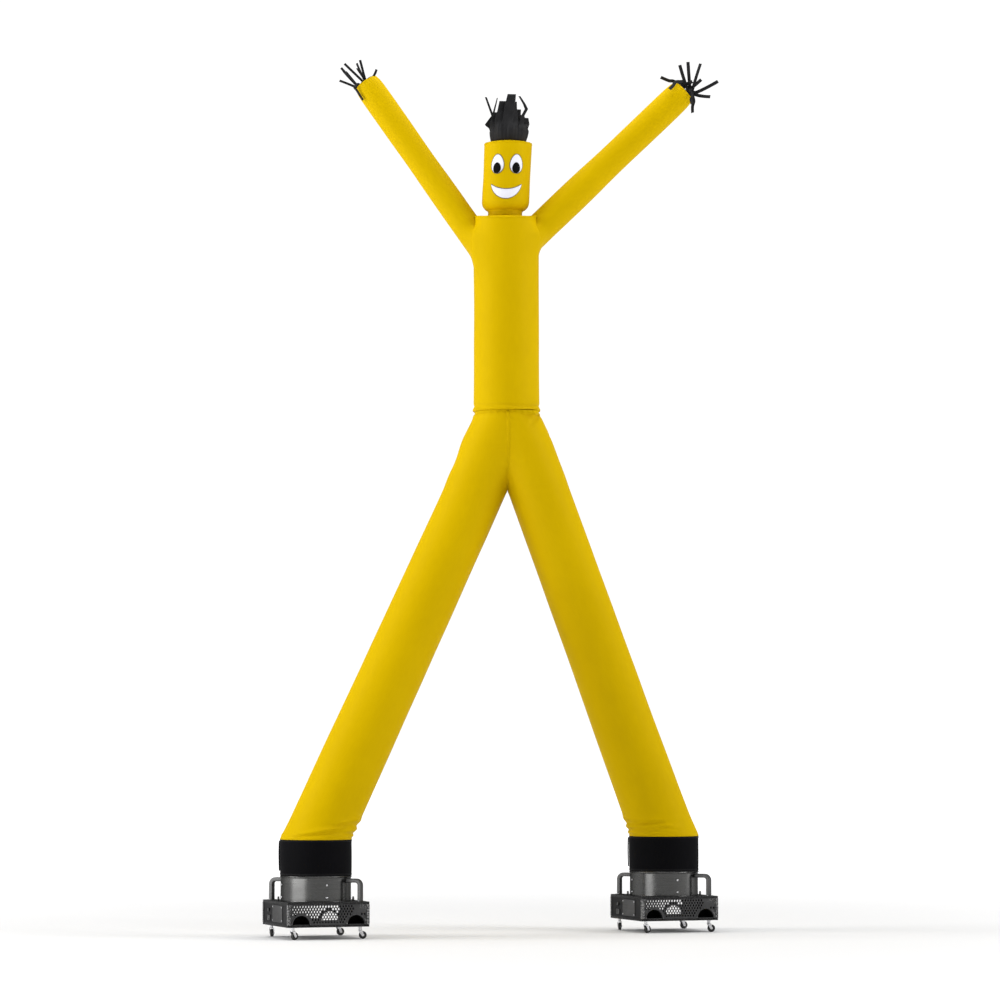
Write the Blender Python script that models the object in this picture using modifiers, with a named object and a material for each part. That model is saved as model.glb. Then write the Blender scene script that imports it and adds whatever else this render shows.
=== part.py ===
"""An inflatable air dancer on two blower bases.

Metres, +Z up, -Y front. The origin is on the floor, half way between the two bases, which stand along X.
The cloth figure is a set of sewn tubes that air holds open: two legs, torso, head and two arms, with
black cuffs, streamers and hair. From the hips up it is turned by TWIST about Z, so that its face looks
towards -X, -Y. In the turned body "across" runs to the figure's own left hand and "deep" to its back.
Each base is a steel box with a round duct, two handles and four swivel casters.
"""

import math

import bmesh
import bpy
from mathutils import Matrix, Vector

# ---------------------------------------------------------------- driving sizes
GAP = 0.0003  # between neighbouring pieces
CLOTH = 0.002  # thickness of every cloth wall
TWIST = math.radians(20.6)
BODY_X = 0.096  # the torso's axis, a little off the middle because the legs differ in slope

SIDES = 20  # of the big tubes
ARM_SIDES = 16

# The two bases
BASE_X = 1.2255  # of each base's middle
BOX = 0.550  # square box
BOX_LOW, BOX_HIGH = 0.080, 0.240
SHEET = 0.003  # trays
PANEL = 0.0025  # side panels
FLANGE = 0.015  # height of the trays' flanges

# The duct ring
DUCT_R = 0.2285
DUCT_WALL = 0.003
DUCT_TOP = 0.465
BEAD_Z = 0.3975
BEAD_HALF = 0.0065
BEAD_OUT = 0.0050
FOOT_OUT, FOOT_TALL = 0.0040, 0.0030  # the ring's foot on the deck

# The cuff over the ring, and the ankle
CUFF_LOW, CUFF_HIGH = 0.405, 0.635
CUFF_ROWS = (  # height, outer radius
    dict(z=CUFF_LOW, r=0.2310),
    dict(z=0.470, r=0.2330),
    dict(z=0.560, r=0.2334),
    dict(z=CUFF_HIGH, r=0.2322),
)

# Legs
CROTCH_Z = 2.931
WAIST_Z = 3.4555
ANKLE_Z = CUFF_HIGH + GAP
HEM_Z = CUFF_HIGH + 0.010  # the leg runs straight up to here
LEG_LEVELS = (
    3.4555, 3.442, 3.400, 3.270, 3.130, 3.030, 2.970, 2.931, 2.800, 2.450,
    2.050, 1.650, 1.250, 0.950, 0.790, 0.752, 0.724, 0.700, 0.678, 0.660, HEM_Z, ANKLE_Z,
)
# height, half width across, half depth, middle across, as seen square on to the turned body
LEFT_LEG = (
    dict(z=ANKLE_Z, half=0.2318, deep=0.2318, mid=-1.2370),
    dict(z=HEM_Z, half=0.2318, deep=0.2318, mid=-1.2370),
    dict(z=0.790, half=0.2330, deep=0.2150, mid=-1.1677),
    dict(z=1.868, half=0.2250, deep=0.2060, mid=-0.6855),
    dict(z=CROTCH_Z, half=0.2165, deep=0.1990, mid=-0.2100),
    dict(z=3.030, half=0.2230, deep=0.2010, mid=-0.1640),
    dict(z=3.130, half=0.2280, deep=0.2050, mid=-0.1130),
    dict(z=3.270, half=0.2350, deep=0.2110, mid=-0.0590),
    dict(z=3.400, half=0.2240, deep=0.2160, mid=-0.0060),
    dict(z=3.442, half=0.2180, deep=0.2175, mid=-0.0005),
    dict(z=WAIST_Z, half=0.2150, deep=0.2150, mid=0.0000),
)
RIGHT_LEG = (
    dict(z=ANKLE_Z, half=0.2318, deep=0.2318, mid=1.0573),
    dict(z=HEM_Z, half=0.2318, deep=0.2318, mid=1.0573),
    dict(z=0.790, half=0.2265, deep=0.2150, mid=1.0005),
    dict(z=1.868, half=0.2140, deep=0.2060, mid=0.6052),
    dict(z=CROTCH_Z, half=0.2090, deep=0.1990, mid=0.2155),
    dict(z=3.030, half=0.2095, deep=0.2010, mid=0.1810),
    dict(z=3.130, half=0.2085, deep=0.2050, mid=0.1440),
    dict(z=3.270, half=0.2075, deep=0.2110, mid=0.0920),
    dict(z=3.400, half=0.2120, deep=0.2160, mid=0.0290),
    dict(z=3.442, half=0.2165, deep=0.2175, mid=0.0040),
    dict(z=WAIST_Z, half=0.2150, deep=0.2150, mid=0.0000),
)
SEAM = (  # the middle seam between crotch and waist
    dict(z=CROTCH_Z, across=0.0065),
    dict(z=3.130, across=0.0140),
    dict(z=3.270, across=0.0150),
    dict(z=WAIST_Z, across=0.0110),
)
ANKLE_FOLDS = (  # spare cloth bunched on each ankle's inner side: height, push outwards
    dict(z=ANKLE_Z, push=0.0000),
    dict(z=HEM_Z, push=0.0000),
    dict(z=0.660, push=0.0060),
    dict(z=0.678, push=-0.0060),
    dict(z=0.700, push=0.0070),
    dict(z=0.724, push=-0.0065),
    dict(z=0.752, push=0.0050),
    dict(z=0.790, push=0.0000),
    dict(z=3.500, push=0.0000),
)

# Torso and its top panel
TORSO_R = 0.2175
SHOULDER_Z = 4.736  # the tube's top edge at front and back
SHOULDER_LIFT = 0.028  # how far the arms pull that edge up at the sides
TORSO_ROWS = (  # share of the way up, outer radius
    dict(t=0.000, r=0.2150),
    dict(t=0.012, r=0.2178),
    dict(t=0.100, r=0.2185),
    dict(t=0.500, r=0.2165),
    dict(t=0.800, r=0.2175),
    dict(t=0.960, r=0.2175),
    dict(t=1.000, r=0.2160),
)
YOKE_RISE = 0.024  # from the torso's edge to the neck
YOKE_SHARES = (0.0, 0.25, 0.6, 1.0)
TRIM = 0.0006  # what the trimmed end of an arm keeps to the torso's outside

# Head, on its neck
NECK_R = 0.1150
HEAD_R = 0.1580
NECK_ACROSS = -0.010
HEAD_LEAN = 0.045  # across per metre up
HEAD_LOW = 4.7630
HEAD_HIGH = 5.2550
HEAD_ROWS = (  # height, outer radius
    dict(z=HEAD_LOW, r=0.1150),
    dict(z=4.800, r=0.1155),
    dict(z=4.812, r=0.1330),
    dict(z=4.832, r=0.1490),
    dict(z=4.862, r=0.1570),
    dict(z=5.050, r=0.1575),
    dict(z=HEAD_HIGH, r=0.1590),
)
HEAD_SIDES = 32
CROWN_ROWS = (  # the head's top panel, from its rim to its air vent
    dict(r=0.1590, rise=0.0003),
    dict(r=0.1180, rise=0.0080),
    dict(r=0.0850, rise=0.0090),
)

# Face, sewn on: middle as an angle from straight ahead, height, half width and half height
APPLIQUE = 0.0012
FACE_LIFT = 0.0008  # from the head's round to an eye, which clears the head's edges
MOUTH_LIFT = 0.0005
EYES = (
    dict(name="eye_right", turn=-24.3, z=5.102, half=0.0450, tall=0.0640),
    dict(name="eye_left", turn=23.1, z=5.102, half=0.0450, tall=0.0640),
)
PUPILS = (
    dict(name="pupil_right", turn=-24.7, z=5.075, half=0.0272, tall=0.0358),
    dict(name="pupil_left", turn=22.4, z=5.075, half=0.0272, tall=0.0358),
)
EGG = 0.16  # how much wider an eye is below its middle
MOUTH_HALF_TURN = 38.5
MOUTH_CORNER_Z = 4.967
MOUTH_TOP_SAG = 0.034
MOUTH_LOW_SAG = 0.096
MOUTH_COLUMNS, MOUTH_ROWS = 16, 4
MOUTH_CORNER_TALL = 0.003

# Arms: where each axis leaves the torso and ends, as across, deep, height
ARMS = {
    "left": dict(
        root=Vector((-0.2175, 0.012, 4.637)),
        tip=Vector((-0.9450, 0.146, 5.693)),
        rows=(
            dict(t=-0.200, r=0.0930), dict(t=0.050, r=0.0950), dict(t=0.300, r=0.0940),
            dict(t=0.550, r=0.0925), dict(t=0.800, r=0.0950), dict(t=0.930, r=0.0940),
            dict(t=0.972, r=0.0900), dict(t=0.992, r=0.0830), dict(t=1.000, r=0.0780),
        ),
    ),
    "right": dict(
        root=Vector((0.2175, 0.000, 4.682)),
        tip=Vector((1.1870, -0.034, 5.608)),
        rows=(
            dict(t=-0.200, r=0.1000), dict(t=0.050, r=0.1020), dict(t=0.300, r=0.1010),
            dict(t=0.550, r=0.0960), dict(t=0.800, r=0.0975), dict(t=0.935, r=0.0960),
            dict(t=0.975, r=0.0910), dict(t=0.993, r=0.0830), dict(t=1.000, r=0.0780),
        ),
    ),
}

# Streamers: a black end panel on each arm, with narrow strips sewn on it
END_PANEL_R = 0.0765
END_PANEL_THICK = 0.004
STRIP_WIDE, STRIP_THICK = 0.015, 0.004
STRIP_ROOT = 0.012  # how far a strip runs straight out of the panel
STRIP_CLEAR = 0.112  # from an arm's axis, for a strip that hangs back along the arm
STRIPS = {  # where round the panel and how far out a strip starts, its bulge, and its free end
    "left": (
        dict(turn=200, out=0.052, bulge=0.020, across=-1.122, deep=0.10, z=5.702),
        dict(turn=165, out=0.052, bulge=0.015, across=-1.115, deep=0.19, z=5.804),
        dict(turn=128, out=0.050, bulge=0.010, across=-1.090, deep=0.13, z=5.822),
        dict(turn=90, out=0.050, bulge=-0.010, across=-1.012, deep=0.21, z=5.839),
        dict(turn=55, out=0.050, bulge=0.010, across=-0.985, deep=0.12, z=5.845),
        dict(turn=20, out=0.056, bulge=0.030, across=-0.875, deep=0.15, z=5.787),
        dict(turn=238, out=0.050, bulge=0.020, across=-1.079, deep=0.06, z=5.756),
        dict(turn=275, out=0.056, bulge=0.045, across=-0.965, deep=0.05, z=5.584),
        dict(turn=325, out=0.052, bulge=0.020, across=-0.945, deep=0.02, z=5.760),
        dict(turn=0, out=0.000, bulge=0.010, across=-1.050, deep=0.16, z=5.850),
    ),
    "right": (
        dict(turn=60, out=0.052, bulge=0.020, across=1.032, deep=-0.03, z=5.702),
        dict(turn=95, out=0.052, bulge=0.015, across=1.162, deep=0.02, z=5.774),
        dict(turn=125, out=0.048, bulge=-0.010, across=1.213, deep=-0.06, z=5.790),
        dict(turn=150, out=0.054, bulge=0.005, across=1.296, deep=-0.02, z=5.784),
        dict(turn=0, out=0.000, bulge=0.000, across=1.301, deep=-0.07, z=5.679),
        dict(turn=185, out=0.052, bulge=0.020, across=1.412, deep=-0.05, z=5.669),
        dict(turn=215, out=0.052, bulge=0.015, across=1.358, deep=-0.09, z=5.564),
        dict(turn=250, out=0.054, bulge=0.010, across=1.241, deep=-0.10, z=5.462),
        dict(turn=285, out=0.052, bulge=0.020, across=1.225, deep=-0.135, z=5.505),
        dict(turn=325, out=0.054, bulge=0.040, across=1.085, deep=-0.17, z=5.600),
        dict(turn=20, out=0.054, bulge=0.020, across=1.190, deep=-0.16, z=5.740),
    ),
}

# Hair: a gathered black band round the vent, slit above into strips
HAIR_R = 0.1160
HAIR_BAND = 0.075
HAIR_COLUMNS = 36
HAIR_GATHER = 0.006
HAIR_BULGE = 0.012
HAIR_SQUEEZE = 0.22  # of a strip's width at its tip
HAIR_STRIPS = (  # first column, columns wide, height above the crown, lean in, drift across, sway
    dict(first=0, wide=3, tall=0.190, lean=0.020, drift=0.030, sway=0.010),
    dict(first=3, wide=3, tall=0.250, lean=0.045, drift=0.012, sway=-0.008),
    dict(first=6, wide=3, tall=0.300, lean=0.050, drift=0.000, sway=0.006),
    dict(first=9, wide=4, tall=0.262, lean=0.030, drift=-0.010, sway=0.008),
    dict(first=13, wide=3, tall=0.235, lean=0.020, drift=-0.020, sway=-0.006),
    dict(first=16, wide=2, tall=0.275, lean=-0.004, drift=-0.026, sway=-0.010),
    dict(first=18, wide=3, tall=0.150, lean=0.010, drift=-0.020, sway=0.008),
    dict(first=21, wide=3, tall=0.255, lean=0.035, drift=0.000, sway=0.010),
    dict(first=24, wide=4, tall=0.262, lean=0.038, drift=0.018, sway=-0.004),
    dict(first=28, wide=3, tall=0.312, lean=0.040, drift=0.010, sway=0.004),
    dict(first=31, wide=3, tall=0.285, lean=0.018, drift=0.004, sway=0.010),
    dict(first=34, wide=2, tall=0.255, lean=0.006, drift=0.010, sway=-0.012),
)

# Handles: each goes up from a corner of the deck, bends, and runs in to the duct
HANDLE_OUT = 0.3219  # of its leg, from the duct's axis
HANDLE_HALF_IN, HANDLE_HALF_WIDE = 0.013, 0.019
HANDLE_ROUND = 0.005  # of the tube's corners
HANDLE_TOP = 0.386
HANDLE_BEND = 0.030
HANDLE_STEPS = 4
HANDLES = (dict(end="left", turn=135.0), dict(end="right", turn=-45.0))

# Holes in the front and back panels, over the casters
ARCH_X = 0.185
ARCH_R = 0.057
ARCH_LOW = 0.0985
ARCH_STEPS = 10

# Cover plate on each base's -X side, and the catches beside the duct
COVER_Y, COVER_Z = -0.040, 0.160
COVER_LONG, COVER_TALL, COVER_THICK = 0.210, 0.108, 0.0020
CATCH_X, CATCH_Y = 0.2270, 0.085
CATCH_R, CATCH_TALL = 0.0070, 0.026

# Casters
CASTER_AT = 0.228  # kingpin from the base's middle, both ways
WHEEL_R, WHEEL_HALF = 0.025, 0.009
WHEEL_SIDES = 20
PIN_SIDES = 10
BORE_R, AXLE_R = 0.0038, 0.0030
TRAIL = 0.016
YOKE_HALF = 0.0145
YOKE_SHEET = 0.0028
YOKE_LONG = 0.024
YOKE_TOP = 0.0575
BOSS_R, PIN_R, PIN_HEAD_R = 0.0130, 0.0050, 0.0095
PIN_HEAD_TALL = 0.007
PRONG_HALF, PRONG_FOOT = 0.008, 0.008  # half width of a yoke's prong, and its end below the axle
AXLE_OUT = 0.0015
PIN_HOLE_R = 0.0063
CASTERS = (  # corner, its signs, and which way the wheel trails at rest
    dict(corner="front_left", x=-1, y=-1, trail=25.0),
    dict(corner="front_right", x=1, y=-1, trail=-12.0),
    dict(corner="back_left", x=-1, y=1, trail=62.0),
    dict(corner="back_right", x=1, y=1, trail=8.0),
)
BASES = (dict(side="left", x=-BASE_X), dict(side="right", x=BASE_X))


# ---------------------------------------------------------------- scene and materials
def clear_scene():
    for obj in list(bpy.data.objects):
        bpy.data.objects.remove(obj, do_unlink=True)


def new_collection(name):
    collection = bpy.data.collections.new(name)
    bpy.context.scene.collection.children.link(collection)
    return collection


def finish(name, colour, roughness, metallic=0.0):
    material = bpy.data.materials.new(name)
    material.use_nodes = True
    shader = material.node_tree.nodes["Principled BSDF"]
    shader.inputs["Base Color"].default_value = (*colour, 1.0)
    shader.inputs["Roughness"].default_value = roughness
    shader.inputs["Metallic"].default_value = metallic
    return material


clear_scene()
PARTS = new_collection("air_dancer")
CUTTERS = new_collection("cutters")
YELLOW = (0.79, 0.56, 0.005)
BLACK_CLOTH = (0.012, 0.012, 0.013)
STEEL = (0.20, 0.20, 0.21)
COATED = (0.030, 0.030, 0.033)
CHROME = (0.62, 0.63, 0.65)


# ---------------------------------------------------------------- shapes
def add_object(name, bm, material=None, smooth=True, collection=None):
    """Puts a bmesh in a new object of its own."""
    mesh = bpy.data.meshes.new(name)
    bm.to_mesh(mesh)
    bm.free()
    if smooth:
        mesh.shade_smooth()
        mesh.set_sharp_from_angle(angle=math.radians(40))
    obj = bpy.data.objects.new(name, mesh)
    (collection or PARTS).objects.link(obj)
    if material:
        obj.data.materials.append(material)
    return obj


def make_cutter(obj):
    obj.hide_render = True
    obj.display_type = "WIRE"
    return obj


def loft(rings, closed=True, cap_low=False, cap_high=False):
    """A skin through rings of points, each with the same number of points."""
    bm = bmesh.new()
    rows = [[bm.verts.new(p) for p in ring] for ring in rings]
    for low, high in zip(rows, rows[1:]):
        count = len(low)
        for i in range(count if closed else count - 1):
            j = (i + 1) % count
            bm.faces.new((low[i], low[j], high[j], high[i]))
    if cap_low:
        bm.faces.new(rows[0][::-1])
    if cap_high:
        bm.faces.new(rows[-1])
    return bm


def box_mesh(low, high):
    """A box between two corners."""
    bm = bmesh.new()
    low, high = Vector(low), Vector(high)
    size = Matrix.Diagonal((*(high - low), 1.0))
    bmesh.ops.create_cube(bm, size=1.0, matrix=Matrix.Translation((low + high) / 2) @ size)
    return bm


def rod_mesh(radius, low, high, sides, at=(0.0, 0.0), axis="Z"):
    """A cylinder from low to high along Z, or along Y, with its axis at these other two coordinates."""
    bm = bmesh.new()
    turn = Matrix.Rotation(math.radians(90), 4, "X") if axis == "Y" else Matrix.Identity(4)
    half_step = Matrix.Rotation(math.pi / sides, 4, "Z")
    middle = (at[0], 0.0, at[1]) if axis == "Y" else (at[0], at[1], (low + high) / 2)
    bmesh.ops.create_cone(
        bm, cap_ends=True, segments=sides, radius1=radius, radius2=radius, depth=high - low,
        matrix=Matrix.Translation(middle) @ turn @ half_step,
    )
    return bm


def solidify(obj, thickness, offset=-1.0):
    wall = obj.modifiers.new("wall", "SOLIDIFY")
    wall.thickness = thickness
    wall.offset = offset
    wall.use_even_offset = True
    return wall


def boolean(obj, other, operation="DIFFERENCE"):
    step = obj.modifiers.new(other.name, "BOOLEAN")
    step.operation = operation
    step.object = other
    return step


def applied(obj):
    """The object with its modifiers made part of its mesh."""
    bpy.context.view_layer.update()
    graph = bpy.context.evaluated_depsgraph_get()
    mesh = bpy.data.meshes.new_from_object(obj.evaluated_get(graph))
    obj.modifiers.clear()
    obj.data = mesh
    return obj


def turned(name, profile, steps, material):
    """A closed profile of (radius, height), outer side first and downwards, turned round Z."""
    bm = bmesh.new()
    points = [bm.verts.new((r, 0.0, z)) for r, z in profile]
    for a, b in zip(points, points[1:] + points[:1]):
        bm.edges.new((a, b))
    obj = add_object(name, bm, material)
    screw = obj.modifiers.new("turn", "SCREW")
    screw.axis = "Z"
    screw.steps = screw.render_steps = steps
    screw.use_merge_vertices = True
    screw.merge_threshold = 0.0001
    screw.use_smooth_shade = True
    return obj


def read(table, column, where, key="z"):
    """A column of a table at a place between its rows, along a smooth curve through them."""
    places = [row[key] for row in table]
    values = [row[column] for row in table]
    where = min(max(where, places[0]), places[-1])
    i = max(k for k in range(len(places) - 1) if places[k] <= where)
    step = places[i + 1] - places[i]

    def slope(k):
        low, high = max(k - 1, 0), min(k + 1, len(places) - 1)
        return (values[high] - values[low]) / (places[high] - places[low])

    t = (where - places[i]) / step
    rise, keep = t * t * (3 - 2 * t), t * t * t - 2 * t * t + t
    tail = t * t * t - t * t
    start, end = values[i], values[i + 1]
    return start + (end - start) * rise + step * (keep * slope(i) + tail * slope(i + 1))


# ---------------------------------------------------------------- the turned body
def body_point(across, deep, z):
    """A point of the turned body, measured from the torso's axis."""
    return Vector((
        BODY_X + across * math.cos(TWIST) + deep * math.sin(TWIST),
        -across * math.sin(TWIST) + deep * math.cos(TWIST),
        z,
    ))


def leg_ring(leg, other, inner, z):
    """One level ring of a leg. Above the crotch it is open where the legs are sewn together."""
    climb = min(max((z - ANKLE_Z) / (CROTCH_Z - ANKLE_Z), 0.0), 1.0)
    turn = TWIST * climb * climb
    middle = read(leg, "mid", z) / math.cos(TWIST - turn)
    half, deep = read(leg, "half", z), read(leg, "deep", z)
    opening = 0.0
    if z >= CROTCH_Z:
        seam = read(SEAM, "across", z)
        angles = []
        for side in (leg, other):
            share = abs(seam - read(side, "mid", z)) / read(side, "half", z)
            if (seam - read(side, "mid", z)) * (1 if side is LEFT_LEG else -1) < 0:
                share = -share
            angles.append(math.acos(min(max(share, -1.0), 1.0)))
        opening = angles[0]
        if z > CROTCH_Z:
            seam_deep = deep * sum(math.sin(a) for a in angles) / 2
            deep = seam_deep / math.sin(opening)
    points = []
    count = SIDES + 1 if z > CROTCH_Z else SIDES
    for i in range(SIDES + 1):
        angle = opening + (2 * math.pi - 2 * opening) * i / SIDES
        push = read(ANKLE_FOLDS, "push", z) * (0.5 + 0.5 * math.cos(angle)) ** 2
        out = (half + push) * math.cos(angle) * inner
        if z > CROTCH_Z and i in (0, SIDES):
            out -= inner * GAP / 2
        back = (deep + push) * math.sin(angle)
        points.append(Vector((
            BODY_X + (middle + out) * math.cos(turn) + back * math.sin(turn),
            -(middle + out) * math.sin(turn) + back * math.cos(turn),
            z,
        )))
    return points[:count]


def make_leg(name, leg, other, inner, material):
    """A leg's tube from the ankle to the waist. inner is the sign of the way to the other leg."""
    bm = bmesh.new()
    rows = []
    for z in reversed(LEG_LEVELS):
        ring = [bm.verts.new(p) for p in leg_ring(leg, other, inner, z)]
        rows.append(ring if len(ring) > SIDES else ring + ring[:1])
    for low, high in zip(rows, rows[1:]):
        for i in range(SIDES):
            bm.faces.new((low[i], low[i + 1], high[i + 1], high[i]))
    if inner < 0:
        bmesh.ops.reverse_faces(bm, faces=bm.faces[:])
    obj = add_object(name, bm, material)
    solidify(obj, CLOTH)
    return obj


def make_cuff(name, x, material):
    rings = [ring_points(row["r"], row["z"], SIDES, Vector((x, 0.0, 0.0))) for row in CUFF_ROWS]
    obj = add_object(name, loft(rings), material)
    solidify(obj, CLOTH)
    return obj


def ring_points(radius, z, sides, middle):
    """A level ring of points round middle."""
    step = 2 * math.pi / sides
    return [
        Vector((middle.x + radius * math.cos(i * step), middle.y + radius * math.sin(i * step), z))
        for i in range(sides)
    ]


def torso_ring(share, radius, sides=SIDES):
    """A ring of the torso, a share of the way from its waist to its lifted top edge."""
    points = []
    for i in range(sides):
        angle = 2 * math.pi * i / sides
        top = SHOULDER_Z + SHOULDER_LIFT * math.cos(angle) ** 2
        z = WAIST_Z + GAP + share * (top - WAIST_Z - GAP)
        points.append(body_point(radius * math.cos(angle), radius * math.sin(angle), z))
    return points


def yoke_ring(share, extra=0.0):
    """A ring of the torso's top panel, a share of the way from its rim to the neck."""
    points = []
    reach = read(TORSO_ROWS, "r", 1.0, "t") + extra
    for i in range(SIDES):
        angle = 2 * math.pi * i / SIDES
        lift = SHOULDER_LIFT * math.cos(angle) ** 2 * (1 - share) ** 2
        across = reach * math.cos(angle) * (1 - share) + share * (NECK_ACROSS + NECK_R * math.cos(angle))
        deep = (reach * (1 - share) + NECK_R * share) * math.sin(angle)
        rise = YOKE_RISE * math.sin(share * math.pi / 2)
        points.append(body_point(across, deep, SHOULDER_Z + lift + rise + GAP + extra))
    return points


def arm_ring(arm, share, radius, sides=ARM_SIDES):
    """A ring square to an arm's axis."""
    root, tip = arm["root"], arm["tip"]
    along = (tip - root).normalized()
    side = along.cross(Vector((0.0, 1.0, 0.0))).normalized()
    back = side.cross(along).normalized()
    middle = root + (tip - root) * share
    points = []
    for i in range(sides):
        angle = 2 * math.pi * i / sides
        p = middle + side * (radius * math.cos(angle)) + back * (radius * math.sin(angle))
        points.append(body_point(p.x, p.y, p.z))
    return points


def arm_frame(arm):
    """An arm's end: its middle, its outward way, its sideways way and its way back."""
    along = (arm["tip"] - arm["root"]).normalized()
    side = along.cross(Vector((0.0, 1.0, 0.0))).normalized()
    return arm["tip"], along, side, side.cross(along).normalized()


def outward(bm):
    bmesh.ops.recalc_face_normals(bm, faces=bm.faces[:])
    return bm


def torso_envelope():
    """A closed form of the torso's outside, a gap larger, which trims the arms."""
    rings = [torso_ring(row["t"], row["r"] + TRIM) for row in TORSO_ROWS]
    rings += [yoke_ring(share, CLOTH + TRIM) for share in YOKE_SHARES]
    bm = loft(rings, cap_low=True, cap_high=True)
    return make_cutter(add_object("torso_envelope", outward(bm), collection=CUTTERS))


def arm_envelope(side):
    """A closed form of the inside of an arm, which opens the torso's armhole."""
    arm = ARMS[side]
    rings = [arm_ring(arm, row["t"], row["r"] - CLOTH) for row in arm["rows"][:4]]
    bm = loft(rings, cap_low=True, cap_high=True)
    return make_cutter(add_object("armhole_" + side, outward(bm), collection=CUTTERS))


def make_torso(material, armholes):
    rings = [torso_ring(row["t"], row["r"]) for row in TORSO_ROWS]
    torso = add_object("torso", loft(rings), material)
    solidify(torso, CLOTH)
    for cutter in armholes:
        boolean(torso, cutter)


def make_yoke(material, armholes):
    """The torso's top panel, with its neck hole."""
    rings = [yoke_ring(share) for share in YOKE_SHARES]
    yoke = add_object("shoulder_panel", loft(rings), material)
    solidify(yoke, CLOTH, offset=1.0)
    for cutter in armholes:
        boolean(yoke, cutter)


def make_arm(side, material, envelope):
    arm = ARMS[side]
    bm = loft([arm_ring(arm, row["t"], row["r"]) for row in arm["rows"]])
    obj = add_object("arm_" + side, outward(bm), material)
    solidify(obj, CLOTH)
    boolean(obj, envelope)


# ---------------------------------------------------------------- head, face and hair
def head_middle(z):
    return NECK_ACROSS + HEAD_LEAN * (z - HEAD_LOW)


def head_point(turn, radius, z):
    """A point round the head, turn being the angle from straight ahead, in radians."""
    return body_point(head_middle(z) + radius * math.sin(turn), -radius * math.cos(turn), z)


def head_ring(radius, z, sides=HEAD_SIDES):
    return [head_point(2 * math.pi * i / sides, radius, z) for i in range(sides)]


def make_head(material):
    bm = loft([head_ring(row["r"], row["z"]) for row in HEAD_ROWS])
    solidify(add_object("head", bm, material), CLOTH)


def make_crown(material):
    """The head's top panel, with its vent."""
    bm = loft([head_ring(row["r"], HEAD_HIGH + GAP + row["rise"]) for row in CROWN_ROWS])
    solidify(add_object("head_top", bm, material), CLOTH, offset=1.0)


def on_head(turn, z, lift):
    """A point on the head's outside, raised by lift."""
    return head_point(turn, read(HEAD_ROWS, "r", z) + lift, z)


def make_patch(name, outline, lift, shares, material):
    """A thin piece sewn flat on the head, from rings that shrink to its middle by these shares."""
    bm = bmesh.new()
    middle = sum((Vector(p) for p in outline), Vector((0.0, 0.0))) / len(outline)
    rows = []
    for share in shares:
        ring = [middle + (Vector(p) - middle) * share for p in outline]
        rows.append([bm.verts.new(on_head(p.x, p.y, lift)) for p in ring])
    for outer, inner in zip(rows, rows[1:]):
        for i in range(len(outer)):
            j = (i + 1) % len(outer)
            bm.faces.new((outer[i], outer[j], inner[j], inner[i]))
    bm.faces.new(rows[-1])
    solidify(add_object(name, bm, material), APPLIQUE, offset=1.0)


def egg(spot, sides):
    """The outline of an eye, rounder at its foot, as angle and height pairs."""
    points = []
    for i in range(sides):
        angle = 2 * math.pi * i / sides
        wide = spot["half"] * (1 - EGG * math.sin(angle))
        turn = math.radians(spot["turn"]) + wide * math.cos(angle) / HEAD_R
        points.append((turn, spot["z"] + spot["tall"] * math.sin(angle)))
    return points


def make_mouth(material):
    """A crescent from corner to corner."""
    bm = bmesh.new()
    grid = []
    for i in range(MOUTH_COLUMNS + 1):
        s = -1 + 2 * i / MOUTH_COLUMNS
        bow = 1 - s * s
        top = MOUTH_CORNER_Z - MOUTH_TOP_SAG * bow
        low = MOUTH_CORNER_Z - MOUTH_CORNER_TALL - MOUTH_LOW_SAG * bow ** 0.62
        turn = math.radians(MOUTH_HALF_TURN) * s
        heights = [low + (top - low) * k / (MOUTH_ROWS - 1) for k in range(MOUTH_ROWS)]
        grid.append([bm.verts.new(on_head(turn, z, MOUTH_LIFT)) for z in heights])
    for left, right in zip(grid, grid[1:]):
        for k in range(MOUTH_ROWS - 1):
            bm.faces.new((left[k], right[k], right[k + 1], left[k + 1]))
    solidify(add_object("mouth", bm, material), APPLIQUE, offset=1.0)


def hair_spot(column, up, lean=0.0, drift=0.0, sway=0.0):
    """A point of the hair's cloth: column counts round the band, up is above the crown."""
    angle = 2 * math.pi * column / HAIR_COLUMNS
    ease = max(0.0, (up - HAIR_BAND) / 0.2)
    gather = HAIR_GATHER * math.sin(angle * 9) * min(1.0, up / HAIR_BAND)
    bulge = HAIR_BULGE * math.sin(min(1.0, up / (2 * HAIR_BAND)) * math.pi)
    radius = HAIR_R + gather + bulge - lean * ease
    z = HEAD_HIGH + CROWN_ROWS[1]["rise"] + CLOTH + 3 * GAP + up
    across = head_middle(HEAD_HIGH) + HEAD_LEAN * up + radius * math.sin(angle)
    wave = sway * math.sin(ease * math.pi * 1.5)
    return body_point(across + drift * ease + wave, -radius * math.cos(angle) + wave, z)


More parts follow.
